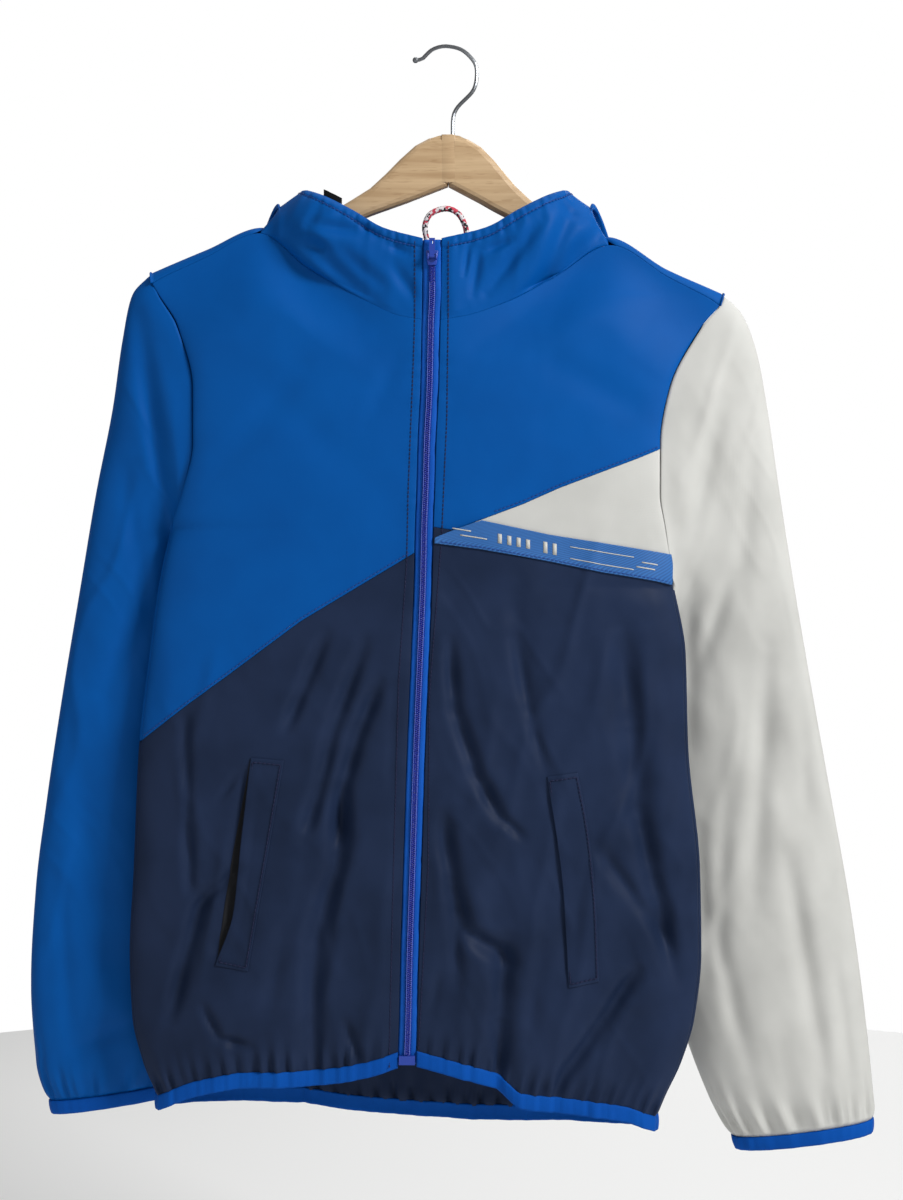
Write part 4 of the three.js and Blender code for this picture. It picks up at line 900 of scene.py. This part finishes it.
for side, cloth in (("right", bluePolyester), ("left", whitePolyester)):
    at = spans((0, 0.05, 12), (0.05, 0.93, 190), (0.93, 1, 26))[:, None]
    grid = sleevePoint(side, *np.broadcast_arrays(at, np.linspace(0, 1, 151)[None, :-1]))
    way = -halves[side]["sign"]
    piece = clothWall("sleeve" + side.capitalize(), grid, cloth, way=way, ring=True,
                      replaces=["sleeve_" + side], seamSink=0.3)
    turn = np.linspace(0, 1, 217)[:-1]
    grid = np.stack([cuffPoint(side, share, turn) for share in bindingRun[:, 0]])
    bindingPiece("cuff" + side.capitalize(), grid, way, "cuff_" + side,
                 ring=True)

print("hood")
# The elastic's channel inside the rim: where its stitching dips, how wide and how deep, and its bulge
channel = {"run": 75, "at": 9, "wide": 1.3, "dip": 0.5, "bulge": 0.5}
for side in halves:
    sign = halves[side]["sign"]
    u, v = np.meshgrid(
        spans((0, 0.5, 110), (0.5, 1, 90)), spans((0, 0.3, 34), (0.3, 0.85, 64), (0.85, 1, 26)))
    grid = hoodPoint(side, u, v)
    # the halves stay just apart at the seam in the middle
    grid[:, -1, 0] += sign * 0.1
    fromRim = (1 - v) * channel["run"]
    dip = channel["dip"] * np.exp(-((fromRim - channel["at"]) / channel["wide"]) ** 2)
    bulge = channel["bulge"] * np.sin(np.pi * np.clip(fromRim / channel["at"], 0, 1))
    piece = clothWall("hood" + side.capitalize(), grid, bluePolyester, way=-sign, lift=bulge - dip,
                      replaces=["hood_" + side], seamSink=0.2, sinkTop=0)

print("hem")


def hemBand(name, edge, way, node):
    drop = mix(-1.2, cut["binding"], bindingRun[:, :, None])
    bindingPiece(name, edge[None] - np.array([0, 0, 1.0]) * drop, way, node)


for side in halves:
    half = halves[side]
    s = np.linspace(0, 1, 130)
    edge = onFront(side, s, read(half["frontHem"], s) + cut["binding"] + cut["seamGap"])
    hemBand("hemFront" + side.capitalize(), edge, half["sign"], "hem_front_" + side)
m = spans((1, 0.94, 7), (0.94, 0, 110))
edge = np.concatenate([backPoint("right", m, m * 0 + 1), backPoint("left", m[::-1][1:], m[1:] * 0 + 1)])
hemBand("hemBack", edge, -1, "hem_back")

print("pockets")
pocketLook = {"weltGap": 0.15, "weltThick": 1.0, "bagDeep": 3.2, "bagThick": 0.6}


# Places along one long edge of a welt
def weltEdge(side, edge, g):
    return [read(pockets[side][edge], g, column) for column in (1, 2)]


def pocketPieces(side):
    pocket, name, restsOn = pockets[side], side.capitalize(), ("front_%s_lower" % side,)
    g, f = stops(162, 2.2)[:, None], stops(26, 1.8)[None, :]
    edges = zip(weltEdge(side, "outer", g), weltEdge(side, "inner", g))
    x, z = (mix(outer, inner, f) for outer, inner in edges)
    free = 1 - f if side == "right" else f
    lifted = pocket["lift"] * smooth((free - 0.55) / 0.45) * np.sin(np.pi * g)
    # the welt bridges the dent beside it
    grid = onFrontAt(side, x, z, lifted + pocketDent(side, x, z) + pocketLook["weltGap"])
    welt = clothWall("pocketWelt" + name, grid, navyPolyester, way=-halves[side]["sign"], lift=1.0,
                     thick=pocketLook["weltThick"], replaces=["pocket_welt_" + side], seamSink=0.35)
    f, g = np.meshgrid(np.linspace(0, 1, 30), np.linspace(0, 1, 44))
    x, z = (mix(mix(a, b, f), mix(d, c, f), g) for a, b, c, d in zip(*pocket["bag"]))
    bag = clothWall("pocketBag" + name, onFrontAt(side, x, z, -pocketLook["bagDeep"]), navyPolyester,
                    thick=pocketLook["bagThick"], replaces=["pocket_bag_" + side])


for side in halves:
    pocketPieces(side)

# How wide the right pocket's lens of painted shade shows, by height
mouthGape = [(-541, 1.6), (-586, 4.5), (-628, 7.5), (-652, 8.5), (-672, 6), (-689, 0.6)]


# The right pocket gapes: a long lens beside the welt, a near-black sheet of painted shade, stands for the
# shade inside its mouth
def pocketMouth():
    f, z = np.meshgrid(np.linspace(0, 1, 6), mix(mouthGape[0][0], mouthGape[-1][0], np.linspace(0, 1, 60)))
    edge = read(pockets["right"]["mouth"], z) + 0.8
    grid = onFrontAt("right", edge - read(mouthGape, z) * f, z, 0.25)
    piece = clothWall("pocketMouthRight", grid, paintedShadeLining, way=-1, thick=0.3, lift=0.1)


pocketMouth()

print("stitching")
stitch = {"pitch": 3.2, "long": 2.7, "thick": 0.4, "taper": 0.35, "shoulder": 3.4, "sides": 6}


# One small six-sided bead of thread for each stitch, along a line that lies on the cloth
def stitchRow(name, line, material, pitch=stitch["pitch"], thick=stitch["thick"]):
    length = runLength(line)
    count = int(length[-1] / pitch)
    starts = (np.arange(count) + 0.5) * length[-1] / count
    end, shoulder, sides = stitch["long"] / 2, stitch["long"] / stitch["shoulder"], stitch["sides"]
    centres = [
        np.stack([np.interp(starts + shift, length, line[:, k]) for k in range(3)], -1)
        for shift in (-end, -shoulder, shoulder, end)
    ]
    direction = centres[3] - centres[0]
    direction /= np.linalg.norm(direction, axis=1, keepdims=True)
    aside = np.cross(direction, [0.0, 1.0, 0.0])
    aside /= np.maximum(np.linalg.norm(aside, axis=1, keepdims=True), 1e-9)
    out = np.cross(direction, aside)
    corners = []
    for centre, size in zip(centres, (stitch["taper"], 1, 1, stitch["taper"])):
        for k in range(sides):
            angle = 2 * math.pi * k / sides
            corners.append(centre + thick * size * (math.cos(angle) * aside + math.sin(angle) * out))
    newBeads(name, corners, sides, material)


def lineOnFront(side, points, lift=0.15, cell=1.5):
    points = np.asarray(points, float)
    length = runLength(points)
    place = np.linspace(0, length[-1], int(length[-1] / cell) + 2)
    return onFrontAt(side, *(np.interp(place, length, points[:, k]) for k in (0, 1)), lift)


# The long stitch lines beside the zip
topstitch = {
    "right": [
        (-24, -207.5), (-25, -240), (-29, -340), (-30, -391), (-36, -480), (-40, -624), (-43, -756),
        (-43, -770),
    ],
    "left": [(1, -207.5), (0, -283), (-4, -375), (-13, -491), (-14, -620), (-20, -735), (-22, -770)],
}
for side in halves:
    stitchRow("topstitch" + side.capitalize(), lineOnFront(side, topstitch[side]), threads["navy"])
    g = np.linspace(0.02, 0.98, 90)
    inset = halves[side]["sign"] * pockets[side]["stitchInset"] * 0.5
    edges = []
    for edge, shift in (("inner", inset), ("outer", -inset)):
        x, z = weltEdge(side, edge, g)
        edges.append(np.stack([x + shift, z], -1))
    inner, outer = edges
    rows = {"Inner": inner, "Outer": outer, "Top": [inner[0], outer[0]], "Foot": [inner[-1], outer[-1]]}
    for part, ends in rows.items():
        stitchRow("pocketStitch" + side.capitalize() + part, lineOnFront(side, ends, 1.75), threads["navy"])

for name, side, line, shift, start in (
    ("seamStitchRight", "right", rightSeam, 2.4, 0.02), ("seamStitchWedge", "left", wedgeTop, 2.4, 0.26),
    ("tapeStitchTop", "left", [(x, z - 1.6) for x, z in tapeTop], 0, 0.2),
):
    s = np.linspace(start, 0.99, 160)
    stitchRow(name, onFront(side, s, seamHeight(side, s, line) + shift, 0.1), threads["blue"])
s = np.linspace(0.03, 0.985, 140)
stitchRow("tapeStitchFoot", onFront("left", s, seamHeight("left", s, tapeBottom) + 1.6, 1.3), threads["blue"])


# A line along the hood's rim, just off its cloth
def hoodLine(side, v, low, high, lift=0.25):
    u = np.linspace(low, high, 260)
    here = hoodPoint(side, u, u * 0 + v)
    ahead = hoodPoint(side, u, u * 0 + v - 0.01) - here
    normal = np.cross(-ahead, np.gradient(here, axis=0)) * -halves[side]["sign"]
    normal /= np.linalg.norm(normal, axis=1, keepdims=True)
    return here + normal * lift


# The stitching beside the zip runs on up the hood, at a set distance from the middle
def stitchOnHood(side, x):
    u, sign = np.linspace(0, 0.3, 90), halves[side]["sign"]
    line = []
    for v in np.linspace(0.02, 0.95, 60):
        row = hoodPoint(side, u, u * 0 + v)
        at = np.interp(sign * x, sign * row[:, 0], u)
        line.append(hoodPoint(side, np.array([at]), np.array([v]))[0] - [0, 0.25, 0])
    return np.array(line)


for side in halves:
    stitchRow("hoodStitch" + side.capitalize(), stitchOnHood(side, topstitch[side][0][0]), threads["navy"])
    stitchRow("rimStitch" + side.capitalize(), hoodLine(side, 0.88, 0.03, 0.97), threads["blue"])

print("zip")
zipLook = {
    "top": -152, "coilTop": -172, "coilBottom": -761, "bottom": -768, "pitch": 1.5, "toothThick": 0.52,
    "toothSides": 5, "sewingPitch": 2.2, "sewingThick": 0.2, "tapeThick": 0.7,
}
zipDepth = [(-900, -27), (-240, -27), (-211, -27.5), (-185, -30.2), (-150, -31)]
# Across a tape, from the middle out: distance, and how far it lies behind the coil
tapeSection = np.array([
    (0.2, 0.7), (1.6, 0.6), (3.2, 0.5), (4.8, 0.5), (6.2, 0.8), (6.7, 2.2), (8, 3.6), (10, 4.2), (12.5, 4.6),
])
# Along one turn of the coil: distance from the middle, how far it is set back, and its share of the thickness
coilTurn = [(-0.5, -0.1, 0.7), (0.3, -0.75, 1), (1.5, -0.6, 1), (2.5, 0.1, 0.9), (2.8, 0.7, 0.6)]


def zipPoint(x, y, z):
    return np.stack(np.broadcast_arrays(zipX(z) + x, read(zipDepth, z) + y, z), -1)


def zipTapes():
    for side in halves:
        sign = halves[side]["sign"]
        z = np.linspace(zipLook["top"], zipLook["bottom"], 300)[:, None]
        x, back = tapeSection.T
        ripple = 0.25 * softNoise(91, z / 7, z * 0) * smooth((x - 1) / 3)
        piece = clothWall("zipTape" + side.capitalize(), zipPoint(sign * x, back + ripple, z), zipTapeCloth,
                          way=sign, thick=zipLook["tapeThick"], replaces=["zip_tape_" + side])


def zipTeeth():
    heights = np.arange(zipLook["coilTop"], zipLook["coilBottom"], -zipLook["pitch"])
    sides = zipLook["toothSides"]
    for side in halves:
        sign = halves[side]["sign"]
        z = heights - (0.5 * zipLook["pitch"] if sign > 0 else 0)
        corners = []
        # each turn of the coil bows forward over the zip's middle, and ends behind its sewing
        for reach, out, size in coilTurn:
            for k in range(sides):
                angle = 2 * math.pi * k / sides
                bend = np.array([0.35 * math.cos(angle) * (reach > 2), math.cos(angle), math.sin(angle)])
                spot = [sign * reach, out, 0] + bend * zipLook["toothThick"] * size * [sign, 1, 1]
                corners.append(zipPoint(0, -0.6, z) + spot)
        piece = newBeads("coil" + side.capitalize(), corners, sides, nylonCoil, flip=sign < 0)
        if sign > 0:
            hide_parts("zip_coil")
        # the sewing beads along the coil are drawn pale as a painted glint on its tips
        edge = np.linspace(zipLook["coilTop"] - 12, zipLook["coilBottom"], 500)
        stitchRow("coilSewing" + side.capitalize(), zipPoint(sign * 1.75, -1.45, edge), coilGlint,
                  zipLook["sewingPitch"], zipLook["sewingThick"])


zipTapes()
zipTeeth()


# Slider body and ears, modelled from cube primitives; the pull tab and bottom box stay from the frame
def takeOnly(piece=None):
    bpy.ops.object.select_all(action="DESELECT")
    if piece:
        bpy.context.view_layer.objects.active = piece
        piece.select_set(True)


def block(name, centre, size, material):
    takeOnly()
    bpy.ops.mesh.primitive_cube_add(
        size=1, location=[c / 1000 for c in centre], scale=[c / 1000 for c in size])
    piece = bpy.context.object
    piece.name = name
    bpy.ops.object.transform_apply(location=True, rotation=True, scale=True)
    piece.data.materials.append(material)
    return piece


# Draws together the points of a block that are chosen
def taper(piece, isChosen, scale):
    takeOnly(piece)
    bpy.ops.object.mode_set(mode="EDIT")
    bpy.ops.mesh.select_all(action="DESELECT")
    bpy.ops.object.mode_set(mode="OBJECT")
    for v in piece.data.vertices:
        if isChosen(v.co * 1000):
            v.select = True
    bpy.ops.object.mode_set(mode="EDIT")
    bpy.ops.transform.resize(value=scale)
    bpy.ops.object.mode_set(mode="OBJECT")


# Rounds a block's edges and puts it on its body
def finishBlock(piece, bevelMm, body="root"):
    bevel = piece.modifiers.new("edges", "BEVEL")
    bevel.width = bevelMm / 1000
    bevel.segments = 3
    bevel.limit_method = "ANGLE"
    takeOnly(piece)
    bpy.ops.object.modifier_apply(modifier=bevel.name)
    bpy.ops.object.shade_smooth_by_angle(angle=math.radians(40))
    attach(piece, body)


slider = {
    "high": 11, "half": 4.8, "deep": 3.8, "narrow": 0.68, "bevel": 0.7, "pivotUp": 6, "pivotOut": 5.9,
    "ear": 1.2, "earHigh": 4.6, "earOut": 3.1, "earPast": 1.7, "earBevel": 0.5,
}
sliderZ = zipLook["coilTop"] + 0.35
sliderX, sliderY = float(zipX(sliderZ)), float(read(zipDepth, sliderZ))


def sliderPieces():
    body = block("sliderBody", (sliderX, sliderY - slider["deep"] / 2 + 0.1, sliderZ + slider["high"] / 2),
                 (slider["half"] * 2, slider["deep"] - 0.1, slider["high"]), enamelledZinc)
    taper(body, lambda p: p.z < sliderZ + 1, (slider["narrow"], 1, 1))
    finishBlock(body, slider["bevel"])
    # the ears run from the slider's face to just past the pull tab's pin
    face, past = sliderY - slider["deep"], sliderY - slider["pivotOut"] - slider["earPast"]
    for number, sign in enumerate((-1, 1)):
        middle = (sliderX + sign * slider["earOut"], (face + past) / 2 + 0.2, sliderZ + slider["pivotUp"])
        ear = block("sliderEar%d" % (number + 1), middle,
                    (slider["ear"], abs(past - face) + 0.4, slider["earHigh"]), enamelledZinc)
        finishBlock(ear, slider["earBevel"])
        if sign < 0:
            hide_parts("zip_slider")


sliderPieces()

print("hang loop, label")
cordLook = {"radius": 2.3, "sides": 20, "relief": 0.14, "strands": 4, "plait": 1.1}


# A braided tube along a line: its strands stand out a little in a crossed pattern
def braidAlong(name, line, material):
    tangent = np.gradient(line, axis=0)
    tangent /= np.linalg.norm(tangent, axis=1, keepdims=True)
    normal = np.cross(tangent[0], [0.13, 1.0, 0.2])
    normal /= np.linalg.norm(normal)
    normals = []
    for t in tangent:
        normal = normal - t * np.dot(normal, t)
        normal = normal / np.linalg.norm(normal)
        normals.append(normal)
    normals = np.array(normals)
    binormals = np.cross(tangent, normals)
    length, sides, radius, relief = runLength(line), cordLook["sides"], cordLook["radius"], cordLook["relief"]
    points, uv = [], []
    for k in range(sides):
        angle = 2 * math.pi * k / sides
        strand, turn = cordLook["strands"] * angle / 2, length * cordLook["plait"]
        plait = 1 - relief + relief * np.abs(np.sin(strand + turn) * np.sin(strand - turn)) ** 0.5
        away = math.cos(angle) * normals + math.sin(angle) * binormals
        points.append(line + away * (radius * plait)[:, None])
        uv.append(np.stack([np.full_like(length, k / sides * 2 * math.pi * radius), length], -1))
    points, uv = np.stack(points, 1).reshape(-1, 3), np.stack(uv, 1).reshape(-1, 2)
    return newPiece(name, points, tubeFaces(len(line), sides), material, uv)


# A smooth line through given points
def smoothLine(points, count):
    points = np.asarray(points, float)
    padded = np.concatenate([[2 * points[0] - points[1]], points, [2 * points[-1] - points[-2]]])
    place = np.linspace(0, len(points) - 1, count)
    i = np.minimum(place.astype(int), len(points) - 2)
    p0, p1, p2, p3 = (padded[i + k] for k in range(4))
    return between(p1, p2, 0.5 * (p2 - p0), 0.5 * (p3 - p1), (place - i)[:, None])


loopRoute = [
    (-5.5, 12.5, -197), (-5.5, 11.4, -190), (-6, 11, -185), (-9, 10.6, -174), (-13, 10, -160),
    (-15.5, 7, -145), (-17, 5, -135), (-14, 4, -127), (-8, 3.5, -123), (0, 3.5, -121.5), (7, 4, -124),
    (12, 5, -130), (15, 7, -140), (14, 10, -157), (9, 10.6, -174), (5, 11, -185), (4.5, 11.4, -190),
    (4.5, 12.5, -197),
]
loopLine = smoothLine(loopRoute, 170)
hangLoop = braidAlong("hangLoop", loopLine, braid)
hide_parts("hang_loop")

# Chosen colours of the hard nodes that stay from the frame
for node, material in (("hook", chromeWire), ("hanger_arm_right", beechRight), ("hanger_arm_left", beechLeft),
                       ("zip_pull", enamelledZinc), ("zip_box", enamelledZinc)):
    for slotOfNode in nodes[node].material_slots:
        slotOfNode.material = material

# A glued-in spline of the same wood closes the mitre at the crown
crown = {"middle": (1, 0, -85.4), "size": (10.4, 13, 36.4), "bevel": 0.4}
finishBlock(block("crownSpline", crown["middle"], crown["size"], beechRight), crown["bevel"])


# The label lies folded in the rim of the hood and stands up out of it
def labelPiece():
    u, v = np.meshgrid(np.linspace(0.3214, 0.3929, 12), np.linspace(0.9, 1, 10))
    grid = hoodPoint("right", u, v)
    top = grid[-1][None] + np.linspace(0.6, 4.5, 9)[:, None, None] * np.array([0, 0, 1.0])
    piece = clothWall("foldedLabel", np.concatenate([grid, top]), satinLabel, thick=0.8, lift=-2.2,
                      replaces=["label"])


labelPiece()

print("studio")
studio = {
    "cameraAt": (0.0034, -1.35, -0.4208), "viewHigh": 37.46, "sensorMm": 36, "lookAt": (0, 0, -0.42),
    "floorZ": -1.15, "floorRadius": 1.8, "floorColour": "#F3F3F2", "world": 0.27, "backdrop": 1.0,
}
# Each light: its place, its size and its power
lights = {
    "keyLight": ((1.55, -1.25, 0.7), (0.7, 0.7), 50), "fillLight": ((-1.5, -1.9, -0.1), (1.6, 1.6), 7),
    "topLight": ((0.2, 0.3, 1.3), (1.6, 1.2), 10), "backLight": ((0.6, 2.2, 0.3), (1.6, 1.6), 20),
}


def studioStage():
    takeOnly()
    bpy.ops.mesh.primitive_circle_add(
        vertices=128, radius=studio["floorRadius"], fill_type="NGON", location=(0, 0, studio["floorZ"]))
    stage = bpy.context.object
    stage.name = "paleFloor"
    bpy.ops.object.transform_apply(location=True, rotation=True, scale=True)
    stage.data.materials.append(newMaterial("mattStudioPaint", studio["floorColour"], 0.9)[0])


def areaLight(name, place, size, power):
    takeOnly()
    bpy.ops.object.light_add(type="AREA", location=place)
    light = bpy.context.object
    light.name = name
    light.data.shape = "RECTANGLE"
    light.data.size, light.data.size_y = size
    light.data.energy = power
    light.rotation_mode = "QUATERNION"
    light.rotation_quaternion = (Vector(place) - Vector(studio["lookAt"])).to_track_quat("Z", "Y")


studioStage()
for name, light in lights.items():
    areaLight(name, *light)
world = bpy.data.worlds.new("softStudio")
bpy.context.scene.world = world
world.use_nodes = True
# the camera sees a white backdrop, and the cloth a dimmer room
sky = world.node_tree
rays = addNode(sky, "LightPath")
level = addNode(sky, "MapRange", {
    "Value": rays.outputs["Is Camera Ray"], "To Min": studio["world"], "To Max": studio["backdrop"],
})
setSockets(sky, sky.nodes["Background"], {"Color": linear("#FFFFFF"), "Strength": level.outputs["Result"]})
bpy.context.scene.view_settings.view_transform = "Standard"

cameraData = bpy.data.cameras.new("frontCamera")
cameraData.sensor_fit = "VERTICAL"
cameraData.sensor_height = studio["sensorMm"]
cameraData.lens = studio["sensorMm"] / 2 / math.tan(math.radians(studio["viewHigh"] / 2))
cameraObject = bpy.data.objects.new("frontCamera", cameraData)
bpy.context.scene.collection.objects.link(cameraObject)
cameraObject.location = studio["cameraAt"]
cameraObject.rotation_euler = (math.radians(90), 0, 0)
bpy.context.scene.camera = cameraObject

print("finished")
